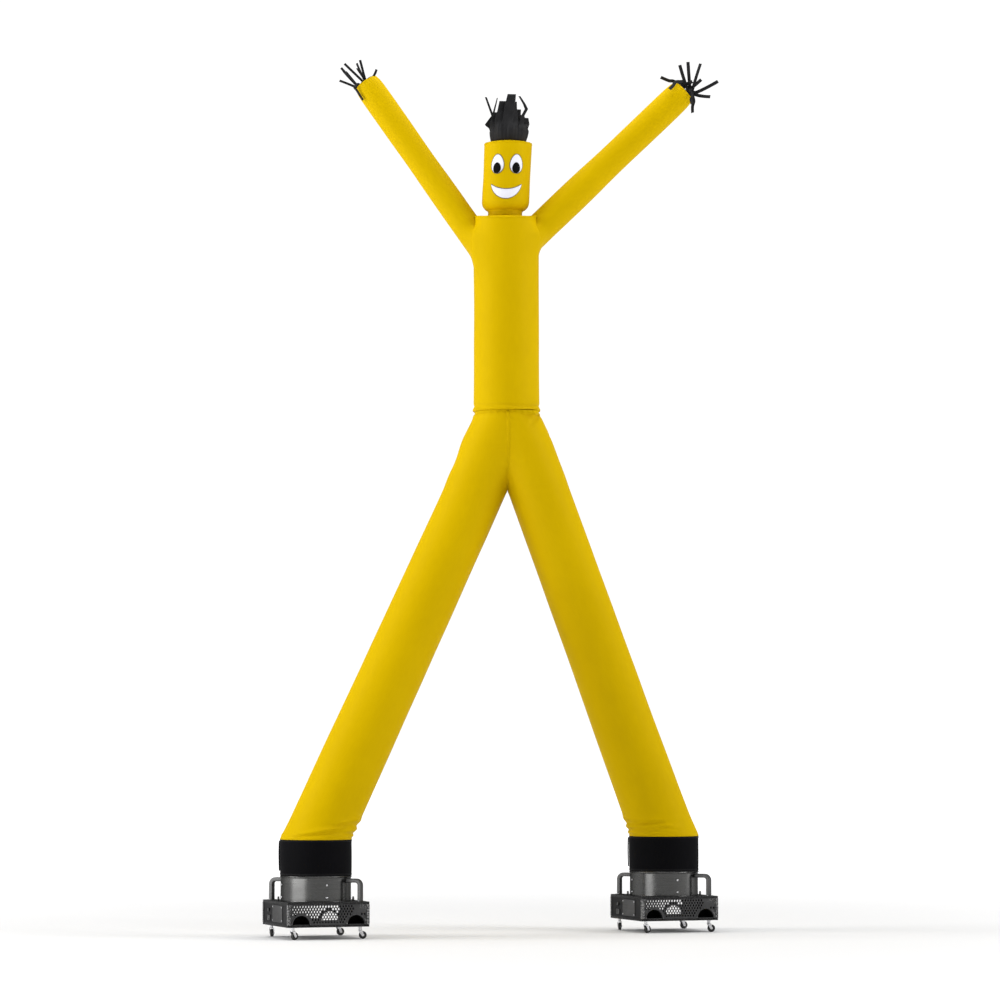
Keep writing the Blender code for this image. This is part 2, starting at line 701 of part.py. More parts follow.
def make_hair(material):
    """A gathered band whose upper edge is slit into strips of unlike height."""
    bm = bmesh.new()
    levels = (0.0, HAIR_BAND * 0.5, HAIR_BAND)
    rows = [[bm.verts.new(hair_spot(c, up)) for c in range(HAIR_COLUMNS)] for up in levels]
    for low, high in zip(rows, rows[1:]):
        for i in range(HAIR_COLUMNS):
            j = (i + 1) % HAIR_COLUMNS
            bm.faces.new((low[i], low[j], high[j], high[i]))
    for strip in HAIR_STRIPS:
        columns = range(strip["first"], strip["first"] + strip["wide"] + 1)
        below = [rows[-1][c % HAIR_COLUMNS] for c in columns]
        for share in (0.33, 0.66, 1.0):
            up = HAIR_BAND + (strip["tall"] - HAIR_BAND) * share
            middle = (columns[0] + columns[-1]) / 2
            squeeze = 1 - HAIR_SQUEEZE * share
            above = [
                bm.verts.new(hair_spot(
                    middle + (c - middle) * squeeze, up, strip["lean"], strip["drift"], strip["sway"]
                ))
                for c in columns
            ]
            for i in range(len(below) - 1):
                bm.faces.new((below[i], below[i + 1], above[i + 1], above[i]))
            below = above
    solidify(add_object("hair", bm, material), CLOTH)


# ---------------------------------------------------------------- streamers
def strip_path(arm, strip):
    """Points of a strip from inside the end panel to its free end, kept clear of the arm."""
    middle, along, side, back = arm_frame(arm)
    angle = math.radians(strip["turn"])
    spoke = side * math.cos(angle) + back * math.sin(angle)
    start = middle + spoke * strip["out"] + along * (END_PANEL_THICK * 0.5)
    end = Vector((strip["across"], strip["deep"], strip["z"]))
    reach = (end - start).length
    knee = start + along * (0.35 * reach) + spoke * strip["bulge"]
    points = [start, start + along * STRIP_ROOT]
    for t in (0.3, 0.55, 0.8, 1.0):
        p = start * (1 - t) ** 2 + knee * (2 * t * (1 - t)) + end * t * t
        behind = (p - middle).dot(along)
        if behind < STRIP_ROOT / 2:
            away = (p - middle) - along * behind
            if away.length < STRIP_CLEAR:
                p = middle + along * behind + away.normalized() * STRIP_CLEAR
        points.append(p)
    return points


def strip_mesh(arm, strip):
    """A strip's four-sided bar along its path."""
    points = strip_path(arm, strip)
    rings = []
    for i, p in enumerate(points):
        before, after = points[max(i - 1, 0)], points[min(i + 1, len(points) - 1)]
        run = (after - before).normalized()
        flat = run.cross(Vector((0.35, 1.0, 0.1))).normalized()
        thick = flat.cross(run).normalized()
        wide, deep = flat * STRIP_WIDE / 2, thick * STRIP_THICK / 2
        rings.append([p + wide + deep, p - wide + deep, p - wide - deep, p + wide - deep])
    rings = [[body_point(q.x, q.y, q.z) for q in ring] for ring in rings]
    return outward(loft(rings, cap_low=True, cap_high=True))


def end_panel_mesh(arm):
    middle, along, side, back = arm_frame(arm)
    rings = []
    for lift, radius in ((GAP, END_PANEL_R), (END_PANEL_THICK, END_PANEL_R - 0.002)):
        ring = []
        for i in range(ARM_SIDES):
            angle = 2 * math.pi * i / ARM_SIDES
            p = middle + along * lift + side * radius * math.cos(angle) + back * radius * math.sin(angle)
            ring.append(body_point(p.x, p.y, p.z))
        rings.append(ring)
    return outward(loft(rings, cap_low=True, cap_high=True))


def make_streamers(side, material):
    """An arm's end panel with its strips, in one piece."""
    arm = ARMS[side]
    obj = add_object("streamers_" + side, end_panel_mesh(arm), material, smooth=False)
    for number, strip in enumerate(STRIPS[side]):
        bar = add_object(f"strip_{side}_{number}", strip_mesh(arm, strip), collection=CUTTERS)
        boolean(obj, make_cutter(bar), "UNION")


# ---------------------------------------------------------------- bases
def make_tray(name, x, low, high, open_top, material):
    """A folded sheet tray, its flange downwards, or upwards when open_top."""
    bm = box_mesh((x - BOX / 2, -BOX / 2, low), (x + BOX / 2, BOX / 2, high))
    way = 1 if open_top else -1
    gone = [f for f in bm.faces if f.normal.z * way > 0.5]
    bmesh.ops.delete(bm, geom=gone, context="FACES")
    obj = add_object(name, bm, material, smooth=False)
    solidify(obj, SHEET)
    return obj


def panel_cutter(name, x, y):
    """An arched hole's cutter: half a disc on a flat sill, through a panel that faces Y."""
    outline = []
    for i in range(ARCH_STEPS + 1):
        angle = math.pi * i / ARCH_STEPS
        outline.append((x + ARCH_R * math.cos(angle), ARCH_LOW + ARCH_R * math.sin(angle)))
    rings = [[Vector((px, y + dy, pz)) for px, pz in outline] for dy in (-0.01, 0.01)]
    bm = outward(loft(rings, cap_low=True, cap_high=True))
    return make_cutter(add_object(name, bm, collection=CUTTERS))


def make_panels(base, material):
    """The four side panels, stood inside the trays' flanges."""
    x, side = base["x"], base["side"]
    face = BOX / 2 - SHEET - GAP
    low, high = BOX_LOW + SHEET + GAP, BOX_HIGH - SHEET - GAP
    for end, sign in (("front", -1), ("back", 1)):
        y0, y1 = sorted((sign * face, sign * (face - PANEL)))
        bm = box_mesh((x - face, y0, low), (x + face, y1, high))
        obj = add_object(f"{side}_panel_{end}", bm, material, smooth=False)
        for place in (-1, 1):
            cutter = panel_cutter(f"arch_{side}_{end}_{place}", x + place * ARCH_X, (y0 + y1) / 2)
            boolean(obj, cutter)
    reach = face - PANEL - GAP
    for end, sign in (("left", -1), ("right", 1)):
        x0, x1 = sorted((x + sign * face, x + sign * (face - PANEL)))
        bm = box_mesh((x0, -reach, low), (x1, reach, high))
        add_object(f"{side}_panel_{end}", bm, material, smooth=False)


def make_duct(name, x, material):
    """The round duct with its foot flange and rolled bead."""
    foot = BOX_HIGH + GAP
    inner = DUCT_R - DUCT_WALL
    profile = [
        (DUCT_R, DUCT_TOP), (DUCT_R, BEAD_Z + BEAD_HALF),
        (DUCT_R + BEAD_OUT, BEAD_Z), (DUCT_R, BEAD_Z - BEAD_HALF), (DUCT_R, foot + FOOT_TALL),
        (DUCT_R + FOOT_OUT, foot + FOOT_TALL), (DUCT_R + FOOT_OUT, foot),
        (inner, foot), (inner, DUCT_TOP),
    ]
    obj = turned(name, profile, SIDES, material)
    obj.location.x = x


def make_handle(name, x, turn, material):
    """A bent flat tube, from the deck's corner to the duct, in the upright plane at turn round the duct."""
    out, side = math.radians(turn), math.radians(turn + 90)
    outward_way = Vector((math.cos(out), math.sin(out), 0.0))
    wide_way = Vector((math.cos(side), math.sin(side), 0.0))
    up = Vector((0.0, 0.0, 1.0))
    middle = HANDLE_TOP - HANDLE_HALF_IN
    path = [(HANDLE_OUT, BOX_HIGH + GAP, 0.0)]  # distance out, height, lean
    for i in range(HANDLE_STEPS + 1):
        lean = math.radians(90) * i / HANDLE_STEPS
        path.append((
            HANDLE_OUT - HANDLE_BEND * (1 - math.cos(lean)),
            middle - HANDLE_BEND * (1 - math.sin(lean)),
            lean,
        ))
    flat = DUCT_R * math.cos(math.pi / SIDES)  # the duct's side faces stand this far out
    path.append((flat + GAP, middle, math.radians(90)))
    deep, wide, cut = HANDLE_HALF_IN, HANDLE_HALF_WIDE, HANDLE_ROUND
    section = (
        (deep, wide - cut), (deep - cut, wide), (cut - deep, wide), (-deep, wide - cut),
        (-deep, cut - wide), (cut - deep, -wide), (deep - cut, -wide), (deep, cut - wide),
    )
    rings = []
    for reach, z, lean in path:
        at = Vector((x, 0.0, 0.0)) + outward_way * reach + up * z
        across = outward_way * math.cos(lean) + up * math.sin(lean)
        rings.append([at + across * a + wide_way * b for a, b in section])
    add_object(name, outward(loft(rings, cap_low=True, cap_high=True)), material)


def make_base(base, coat, steel):
    """A steel box with its panels, duct, handles, cover plate and catches."""
    side, x = base["side"], base["x"]
    deck = make_tray(f"{side}_deck", x, BOX_HIGH - FLANGE, BOX_HIGH, False, coat)
    hole = rod_mesh(DUCT_R - DUCT_WALL, BOX_HIGH - 0.05, BOX_HIGH + 0.05, SIDES, at=(x, 0.0))
    boolean(deck, make_cutter(add_object(f"duct_hole_{side}", hole, collection=CUTTERS)))
    floor = make_tray(f"{side}_floor_tray", x, BOX_LOW, BOX_LOW + FLANGE, True, coat)
    for caster in CASTERS:
        at = (x + caster["x"] * CASTER_AT, caster["y"] * CASTER_AT)
        hole = rod_mesh(PIN_HOLE_R, BOX_LOW - 0.02, BOX_LOW + 0.02, PIN_SIDES, at=at)
        name = f"pin_hole_{side}_{caster['corner']}"
        boolean(floor, make_cutter(add_object(name, hole, collection=CUTTERS)))
    make_panels(base, coat)
    make_duct(f"{side}_duct", x, steel)
    for handle in HANDLES:
        make_handle(f"{side}_handle_{handle['end']}", x, handle["turn"], steel)
    outer = x - (BOX / 2 - SHEET - GAP)
    plate = box_mesh(
        (outer - GAP - COVER_THICK, COVER_Y - COVER_LONG / 2, COVER_Z - COVER_TALL / 2),
        (outer - GAP, COVER_Y + COVER_LONG / 2, COVER_Z + COVER_TALL / 2),
    )
    add_object(f"{side}_cover", plate, steel, smooth=False)
    for number, sign in enumerate((-1, 1)):
        foot = BOX_HIGH + GAP
        at = (x + sign * CATCH_X, -sign * CATCH_Y)
        knob = rod_mesh(CATCH_R, foot, foot + CATCH_TALL, PIN_SIDES, at=at)
        add_object(f"{side}_catch_{'left' if sign < 0 else 'right'}", knob, coat)


# ---------------------------------------------------------------- casters
def yoke_mesh_object(material):
    """A caster's yoke with its boss, kingpin and axle, the kingpin's axis on Z at the origin."""
    wide, sheet = YOKE_HALF, YOKE_SHEET
    foot, top = WHEEL_R - PRONG_FOOT, YOKE_TOP
    outline = [
        (wide, foot), (wide, top), (-wide, top), (-wide, foot),
        (-wide + sheet, foot), (-wide + sheet, top - sheet), (wide - sheet, top - sheet), (wide - sheet, foot),
    ]
    rings = []
    for end in (-1, 1):
        ring = []
        for y, z in outline:
            low = z < YOKE_TOP - 2 * sheet
            long = PRONG_HALF if low else YOKE_LONG / 2
            shift = TRAIL if low else 0.0
            ring.append(Vector((shift + end * long, y, z)))
        rings.append(ring)
    yoke = add_object("yoke", outward(loft(rings, cap_low=True, cap_high=True)), material)
    under, head = BOX_LOW - GAP, BOX_LOW + SHEET + GAP
    profile = [
        (PIN_HEAD_R, head + PIN_HEAD_TALL), (PIN_HEAD_R, head), (PIN_R, head), (PIN_R, under),
        (BOSS_R, under), (BOSS_R, YOKE_TOP - sheet * 0.5), (0.0, YOKE_TOP - sheet * 0.5),
        (0.0, head + PIN_HEAD_TALL),
    ]
    pin = turned("kingpin", profile, PIN_SIDES, None)
    applied(pin)
    axle = rod_mesh(AXLE_R, -wide - AXLE_OUT, wide + AXLE_OUT, PIN_SIDES, at=(TRAIL, WHEEL_R), axis="Y")
    axle = add_object("axle", axle)
    boolean(yoke, pin, "UNION")
    boolean(yoke, axle, "UNION")
    applied(yoke)
    for helper in (pin, axle):
        bpy.data.objects.remove(helper, do_unlink=True)
    return yoke


def wheel_mesh_object(material):
    """A wheel round the origin, its axle along Y and a flat of its tread downwards."""
    corner = WHEEL_R / math.cos(math.pi / WHEEL_SIDES)
    half = WHEEL_HALF
    profile = [(corner, half), (corner, -half), (BORE_R, -half), (BORE_R, half)]
    wheel = turned("wheel", profile, WHEEL_SIDES, material)
    applied(wheel)
    lie = Matrix.Rotation(math.radians(90), 4, "X") @ Matrix.Rotation(math.pi / WHEEL_SIDES, 4, "Z")
    wheel.data.transform(lie)
    return wheel


def make_casters(chrome, tread):
    """A yoke and a wheel at each corner of each base."""
    yoke, wheel = yoke_mesh_object(chrome), wheel_mesh_object(tread)
    for base in BASES:
        for caster in CASTERS:
            tag = f"{base['side']}_{caster['corner']}"
            turn = math.radians(caster["trail"])
            at = Vector((base["x"] + caster["x"] * CASTER_AT, caster["y"] * CASTER_AT, 0.0))
            fork = bpy.data.objects.new("fork_" + tag, yoke.data)
            fork.location, fork.rotation_euler.z = at, turn
            roller = bpy.data.objects.new("wheel_" + tag, wheel.data)
            trail = Vector((math.cos(turn), math.sin(turn), 0.0)) * TRAIL
            roller.location, roller.rotation_euler.z = at + trail + Vector((0.0, 0.0, WHEEL_R)), turn
            PARTS.objects.link(fork)
            PARTS.objects.link(roller)
    for pattern in (yoke, wheel):
        bpy.data.objects.remove(pattern, do_unlink=True)


# ---------------------------------------------------------------- the whole
def make_figure():
    cloth = finish("yellow_cloth", YELLOW, 0.55)
    black = finish("black_cloth", BLACK_CLOTH, 0.70)
    white = finish("white_cloth", (0.80, 0.81, 0.83), 0.55)
    make_leg("leg_left", LEFT_LEG, RIGHT_LEG, 1, cloth)
    make_leg("leg_right", RIGHT_LEG, LEFT_LEG, -1, cloth)
    for base in BASES:
        make_cuff("cuff_" + base["side"], base["x"], black)
    armholes = [arm_envelope(side) for side in ARMS]
    envelope = torso_envelope()
    make_torso(cloth, armholes)
    make_yoke(cloth, armholes)
    make_head(cloth)
    make_crown(cloth)
    for side in ARMS:
        make_arm(side, cloth, envelope)
        make_streamers(side, black)
    make_hair(black)
    for eye in EYES:
        make_patch(eye["name"], egg(eye, 20), FACE_LIFT, (1.0, 0.62, 0.28), white)
    for pupil in PUPILS:
        make_patch(pupil["name"], egg(pupil, 14), 2 * FACE_LIFT + APPLIQUE, (1.0, 0.45), black)
    make_mouth(white)


def make_bases():
    coat = finish("coated_steel", COATED, 0.45, 0.6)
    steel = finish("brushed_steel", STEEL, 0.38, 1.0)
    tread = finish("black_rubber", (0.02, 0.02, 0.02), 0.6)
    for base in BASES:
        make_base(base, coat, steel)
    make_casters(finish("bright_plate", CHROME, 0.18, 1.0), tread)


make_figure()
make_bases()
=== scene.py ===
"""The looks of an inflatable air dancer that stands on two blower bases.

Metres, +Z up, -Y front, in the frame of the CAD model. From the hips up the figure is turned by TWIST
about Z; in the turned body "across" runs to the figure's own left hand and "deep" to its back.
"""

from __future__ import annotations

import logging
from collections.abc import Callable, Sequence
from dataclasses import dataclass, field
from enum import Enum
from math import acos, copysign, cos, exp, hypot, pi, radians, remainder, sin

import bmesh
import bpy
from mathutils import Matrix, Vector, noise


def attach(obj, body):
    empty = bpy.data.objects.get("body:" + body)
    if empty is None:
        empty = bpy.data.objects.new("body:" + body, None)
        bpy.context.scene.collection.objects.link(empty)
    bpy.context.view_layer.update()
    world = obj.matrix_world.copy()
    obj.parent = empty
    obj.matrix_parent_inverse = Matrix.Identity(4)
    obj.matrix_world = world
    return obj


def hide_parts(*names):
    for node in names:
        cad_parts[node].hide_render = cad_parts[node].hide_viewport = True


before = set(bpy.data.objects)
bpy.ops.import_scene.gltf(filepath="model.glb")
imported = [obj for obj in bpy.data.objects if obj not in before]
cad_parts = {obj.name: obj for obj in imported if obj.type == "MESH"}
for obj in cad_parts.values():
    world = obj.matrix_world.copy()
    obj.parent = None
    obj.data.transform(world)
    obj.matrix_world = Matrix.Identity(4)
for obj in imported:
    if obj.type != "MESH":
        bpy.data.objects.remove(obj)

Piece = bpy.types.Object
LOG = logging.getLogger("air_dancer")
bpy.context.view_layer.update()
TAU = 2 * pi

# ---------------------------------------------------------------- driving sizes
CLOTH = 0.0012  # thickness of the cloth as it shows
GAP = 0.0003
TWIST = radians(20.6)
BODY_X = 0.096  # the torso's axis
ANKLE_Z, HEM_Z, CROTCH_Z, WAIST_Z = 0.6353, 0.645, 2.931, 3.4555
SHOULDER_Z, SHOULDER_LIFT, YOKE_RISE = 4.736, 0.028, 0.024
NECK_R, NECK_ACROSS = 0.1150, -0.010
HEAD_LOW, HEAD_HIGH, HEAD_LEAN, HEAD_R = 4.7630, 5.2550, 0.045, 0.1580
BODY = "dancer"


Rows = Sequence[Sequence[float]]
LEFT_LEG: Rows = (  # height, half width, half depth, middle across
    (ANKLE_Z, 0.2318, 0.2318, -1.2370),
    (HEM_Z, 0.2318, 0.2318, -1.2370),
    (0.790, 0.2330, 0.2150, -1.1677),
    (1.868, 0.2250, 0.2060, -0.6855),
    (CROTCH_Z, 0.2165, 0.1990, -0.2100),
    (3.030, 0.2230, 0.2010, -0.1640),
    (3.130, 0.2280, 0.2050, -0.1130),
    (3.270, 0.2350, 0.2110, -0.0590),
    (3.400, 0.2240, 0.2160, -0.0060),
    (3.442, 0.2180, 0.2175, -0.0005),
    (WAIST_Z, 0.2150, 0.2150, 0.0000),
)
RIGHT_LEG: Rows = (
    (ANKLE_Z, 0.2318, 0.2318, 1.0573),
    (HEM_Z, 0.2318, 0.2318, 1.0573),
    (0.790, 0.2265, 0.2150, 1.0005),
    (1.868, 0.2140, 0.2060, 0.6052),
    (CROTCH_Z, 0.2090, 0.1990, 0.2155),
    (3.030, 0.2095, 0.2010, 0.1810),
    (3.130, 0.2085, 0.2050, 0.1440),
    (3.270, 0.2075, 0.2110, 0.0920),
    (3.400, 0.2120, 0.2160, 0.0290),
    (3.442, 0.2165, 0.2175, 0.0040),
    (WAIST_Z, 0.2150, 0.2150, 0.0000),
)
SEAM: Rows = ((CROTCH_Z, 0.0065), (3.130, 0.0140), (3.270, 0.0150), (WAIST_Z, 0.0110))
ANKLE_FOLDS: Rows = (  # height, push outwards on the ankle's inner side
    (ANKLE_Z, 0.0), (HEM_Z, 0.0), (0.660, 0.006), (0.678, -0.006), (0.700, 0.007),
    (0.724, -0.0065), (0.752, 0.005), (0.790, 0.0), (3.500, 0.0),
)
TORSO_R, TORSO_TALL = 0.217, 1.29  # about its middle
TORSO_ROWS: Rows = (  # share of the way up, radius
    (0.000, 0.2150), (0.012, 0.2178), (0.100, 0.2185), (0.500, 0.2165),
    (0.800, 0.2175), (0.960, 0.2175), (1.000, 0.2160),
)
CHEEK_LOW, CHEEK_HIGH = 4.800, 4.862
HEAD_ROWS: Rows = (  # height, radius
    (HEAD_LOW, 0.1150), (CHEEK_LOW, 0.1155), (4.812, 0.1330), (4.832, 0.1490),
    (CHEEK_HIGH, 0.1570), (5.050, 0.1575), (HEAD_HIGH, 0.1590),
)
CROWN_ROWS: Rows = ((0.0, 0.1590, 0.0003), (0.5, 0.1180, 0.0080), (1.0, 0.0850, 0.0090))
CUFF_LOW, CUFF_TALL = 0.405, 0.230
CUFF_ROWS: Rows = ((CUFF_LOW, 0.2310), (0.470, 0.2330), (0.560, 0.2334), (0.635, 0.2322))


def read(table: Rows, column: int, where: float) -> float:
    """A column of a table at a place between its rows, along a smooth curve through them.

    Args:
        table: Rows whose first number is their place.
        column: Which number of a row is read.
        where: The place.

    Returns:
        The value there.
    """
    where = min(max(where, table[0][0]), table[-1][0])
    i = max(k for k in range(len(table) - 1) if table[k][0] <= where)
    step = table[i + 1][0] - table[i][0]

    def slope(k: int) -> float:
        """The curve's slope at row k."""
        low, high = max(k - 1, 0), min(k + 1, len(table) - 1)
        return (table[high][column] - table[low][column]) / (table[high][0] - table[low][0])

    t = (where - table[i][0]) / step
    start, end = table[i][column], table[i + 1][column]
    rise = start + (end - start) * t * t * (3 - 2 * t)
    return rise + step * ((t * t * t - 2 * t * t + t) * slope(i) + (t * t * t - t * t) * slope(i + 1))


def body_point(across: float, deep: float, z: float) -> Vector:
    """A point of the turned body, measured from the torso's axis."""
    return Vector((
        BODY_X + across * cos(TWIST) + deep * sin(TWIST),
        -across * sin(TWIST) + deep * cos(TWIST),
        z,
    ))


def bump(x: float, width: float) -> float:
    """A smooth hump of height 1 at x = 0 that dies away over width."""
    return exp(-(x / width) ** 2)


def ease(x: float) -> float:
    """A smooth step from 0 to 1."""
    x = min(max(x, 0.0), 1.0)
    return x * x * (3 - 2 * x)


# ---------------------------------------------------------------- shader writing
def sums(operation: str, back: bool = False) -> Callable[[Socket, Socket | float], Socket]:
    """A method that puts a value and another one through one Math node.

    Args:
        operation: What the node does.
        back: Whether the other value comes first.

    Returns:
        The method.
    """
    def method(self: Socket, other: Socket | float) -> Socket:
        """The node's result."""
        pair = (other, self) if back else (self, other)
        return self.board.node("Math", {"operation": operation}, dict(enumerate(pair)))

    return method


class Socket:
    """A socket whose sums become Math nodes."""

    __add__, __radd__ = sums("ADD"), sums("ADD", back=True)
    __sub__, __rsub__ = sums("SUBTRACT"), sums("SUBTRACT", back=True)
    __mul__, __rmul__ = sums("MULTIPLY"), sums("MULTIPLY", back=True)
    __truediv__ = sums("DIVIDE")
    power = sums("POWER")
    below = sums("LESS_THAN")  # 1 where the value is under the edge

    def __init__(self, board: Board, value: bpy.types.NodeSocket) -> None:
        """Keeps the board that the nodes go on."""
        self.board = board
        self.value = value

    def _alone(self, operation: str) -> Socket:
        """This value alone through a Math node."""
        return self.board.node("Math", {"operation": operation}, {0: self})

    def wave(self) -> Socket:
        """0 at whole numbers, 1 half way between them, with no sharp turns."""
        return (self * TAU)._alone("COSINE") * -0.5 + 0.5

    def saw(self) -> Socket:
        """What is left over after the last whole number."""
        return self._alone("FRACT")

    def size(self) -> Socket:
        """The value without its sign."""
        return self._alone("ABSOLUTE")

    def clear(self, low: float, high: float) -> Socket:
        """0 under low, 1 over high, smooth between."""
        settings = {"interpolation_type": "SMOOTHSTEP"}
        return self.board.node("MapRange", settings, {"Value": self, "From Min": low, "From Max": high})


Value = Socket | float | tuple[float, ...]


class Board:
    """The node tree of a material or a world, with one method for any node."""

    def __init__(self, name: str, shelf: bpy.types.bpy_prop_collection = bpy.data.materials) -> None:
        """Starts the material, or the world where that shelf is given, with its usual shader."""
        self.owner = shelf.new(name)
        self.owner.use_nodes = True
        self.tree = self.owner.node_tree
        self.shader = next(node for node in self.tree.nodes if node.outputs)

    def node(
        self, kind: str, settings: dict[str, object], inputs: dict[str | int, Value], out: str | int = 0
    ) -> Socket:
        """Adds a node.

        Args:
            kind: The node's type, without its ShaderNode prefix.
            settings: Attributes, set first.
            inputs: Values or links of its sockets, by name or number.
            out: The output that is wanted.

        Returns:
            That output.
        """
        node = self.tree.nodes.new("ShaderNode" + kind)
        for key, value in settings.items():
            setattr(node, key, value)
        for key, value in inputs.items():
            self.feed(node.inputs[key], value)
        return Socket(self, node.outputs[out])

    def feed(self, socket: bpy.types.NodeSocket, value: Value) -> None:
        """Links or sets a socket."""
        if isinstance(value, Socket):
            value = value.value
        if isinstance(value, bpy.types.NodeSocket):
            self.tree.links.new(value, socket)
        elif isinstance(value, tuple) and len(value) == 3 and socket.type == "RGBA":
            socket.default_value = (*value, 1.0)
        else:
            socket.default_value = value

    def place(self) -> Socket:
        """Object coordinates."""
        return self.node("TexCoord", {}, {}, "Object")

    def cloth_place(self) -> Socket:
        """The cloth's own metres, from its UV map."""
        return self.node("UVMap", {"uv_map": "metres"}, {})

    def axes(self, vector: Socket) -> tuple[Socket, Socket, Socket]:
        """The three numbers of a vector."""
        split = self.tree.nodes.new("ShaderNodeSeparateXYZ")
        self.feed(split.inputs[0], vector)
        return tuple(Socket(self, output) for output in split.outputs)

    def noise(
        self, vector: Socket, scale: float, detail: float = 2.0, stretch: Value = (1.0, 1.0, 1.0)
    ) -> Socket:
        """A cloudy pattern from 0 to 1."""
        at = self.node("VectorMath", {"operation": "MULTIPLY"}, {0: vector, 1: stretch})
        return self.node("TexNoise", {}, {"Vector": at, "Scale": scale, "Detail": detail})

    def blend(self, share: Value, low: Value, high: Value) -> Socket:
        """A colour between two colours."""
        return self.node("Mix", {"data_type": "RGBA"}, {0: share, 6: low, 7: high}, 2)

    def relief(self, height: Socket, distance: float, strength: float = 1.0) -> None:
        """Feeds the shader's normal from a height in shares of distance."""
        inputs = {"Height": height, "Distance": distance, "Strength": strength}
        self.feed(self.shader.inputs["Normal"], self.node("Bump", {}, inputs))

    def set(self, **values: Value) -> None:
        """Sets the shader's sockets, underscores standing for spaces."""
        for key, value in values.items():
            self.feed(self.shader.inputs[key.replace("_", " ")], value)


# ---------------------------------------------------------------- finishes
Colour = tuple[float, float, float]


def shade(colour: Colour, by: float, add: float = 0.0) -> Colour:
    """A colour made darker or lighter."""
    return tuple(by * part + add for part in colour)


STITCH, STITCH_SHARE = 0.0042, 0.72  # a stitch with its gap, and the thread's share of it
STITCH_ROW, STITCH_WIDE = 0.0075, 0.0007  # from a tape's middle, and half a thread


@dataclass(frozen=True)
class Ripstop:
    """Coated nylon with a grid of thicker threads."""

    name: str
    colour: Colour
    deeper: Colour
    roughness: float = 0.50
    grid: float = 0.006  # between thicker threads
    weave: float = 0.0008  # between fine threads
    crumple: float = 0.0024  # height of the soft crumples
    stitched: bool = False  # rows of stitches along both edges of a strip
    gloss: float = 0.12  # share of the usual mirror gloss

    def make(self) -> bpy.types.Material:
        """Builds the material."""
        board = Board(self.name)
        metres = board.cloth_place()
        across, along, _ = board.axes(metres)
        ribs = ((across / self.grid).wave().power(9.0) + (along / self.grid).wave().power(9.0)) * 0.5
        weave = (across / self.weave).wave() * (along / self.weave).wave()
        cloudy = board.noise(board.place(), 2.3, 3.0)
        fibres = board.noise(metres, 90.0, 2.0, (1.0, 0.15, 1.0))
        height = ribs * 0.014 + weave * 0.004 + board.noise(board.place(), 7.0, 3.0)
        tone = cloudy * 0.7 + fibres * 0.3
        colour = board.blend(tone.clear(0.3, 0.75), self.deeper, self.colour)
        if self.stitched:
            thread = (across.size() - STITCH_ROW).size().below(STITCH_WIDE)
            rows = thread * (along / STITCH).saw().below(STITCH_SHARE)
            height = height + rows * 0.12
            colour = board.blend(rows * 0.35, colour, shade(self.colour, 0.55))
        board.set(Base_Color=board.blend(ribs * 0.18, colour, self.deeper))
        board.set(Roughness=self.roughness + 0.10 * cloudy - 0.06 * ribs, Specular_IOR_Level=self.gloss)
        board.relief(height, self.crumple, 0.45)
        return board.owner


@dataclass(frozen=True)
class Satin:
    """Dense satin stitch over a cord, for the edge of a sewn-on shape."""

    name: str
    colour: Colour

    def make(self) -> bpy.types.Material:
        """Builds the material."""
        board = Board(self.name)
        across, along, _ = board.axes(board.cloth_place())
        threads = (along / 0.0009 + across / 0.004).wave()
        fuzz = board.noise(board.place(), 260.0)
        board.set(Base_Color=board.blend(threads, shade(self.colour, 0.6), self.colour))
        board.set(Roughness=0.45 + 0.25 * fuzz, Sheen_Weight=0.2)
        board.relief(threads + fuzz * 0.3, 0.0005, 0.6)
        return board.owner


@dataclass(frozen=True)
class BrushedSteel:
    """Rolled sheet steel with fine brush marks round its axis."""

    name: str
    colour: Colour
    roughness: float
    upright: bool = False  # brush marks that run up and down

    def make(self) -> bpy.types.Material:
        """Builds the material."""
        board = Board(self.name)
        stretch = (300.0, 300.0, 6.0) if self.upright else (6.0, 6.0, 420.0)
        brush = board.noise(board.place(), 1.0, 3.0, stretch)
        smears = board.noise(board.place(), 9.0, 3.0)
        scratch = board.noise(board.place(), 60.0, 2.0, (1.0, 1.0, 6.0)).clear(0.70, 0.74)
        tone = brush * 0.6 + smears * 0.4
        board.set(Base_Color=board.blend(tone.clear(0.3, 0.7), shade(self.colour, 0.72), self.colour))
        board.set(Metallic=1.0, Roughness=self.roughness + 0.14 * smears - 0.08 * scratch)
        board.set(Specular_Tint=(0.35, 0.35, 0.35, 1.0))
        board.relief(brush + scratch * 0.2, 0.00008, 0.12)
        return board.owner


@dataclass(frozen=True)
class PowderCoat:
    """Baked powder coat with orange peel, rubbed thin along its edges."""

    name: str
    colour: Colour
    worn: Colour
    roughness: float = 0.42

    def make(self) -> bpy.types.Material:
        """Builds the material."""
        board = Board(self.name)
        peel = board.noise(board.place(), 700.0, 2.0)
        dust = board.noise(board.place(), 14.0, 4.0)
        edge = board.node("NewGeometry", {}, {}, "Pointiness").clear(0.53, 0.60)
        chips = edge * board.noise(board.place(), 120.0, 3.0).clear(0.45, 0.6)
        colour = board.blend(dust.clear(0.35, 0.75) * 0.5, self.colour, shade(self.colour, 1.5, 0.004))
        board.set(Base_Color=board.blend(chips, colour, self.worn))
        board.set(Roughness=self.roughness + 0.18 * dust - 0.10 * chips, Metallic=0.25 + 0.4 * chips)
        board.set(Coat_Weight=0.04, Coat_Roughness=0.35, Specular_IOR_Level=0.25)
        board.relief(peel + dust * 0.4, 0.0004, 0.5)
        return board.owner


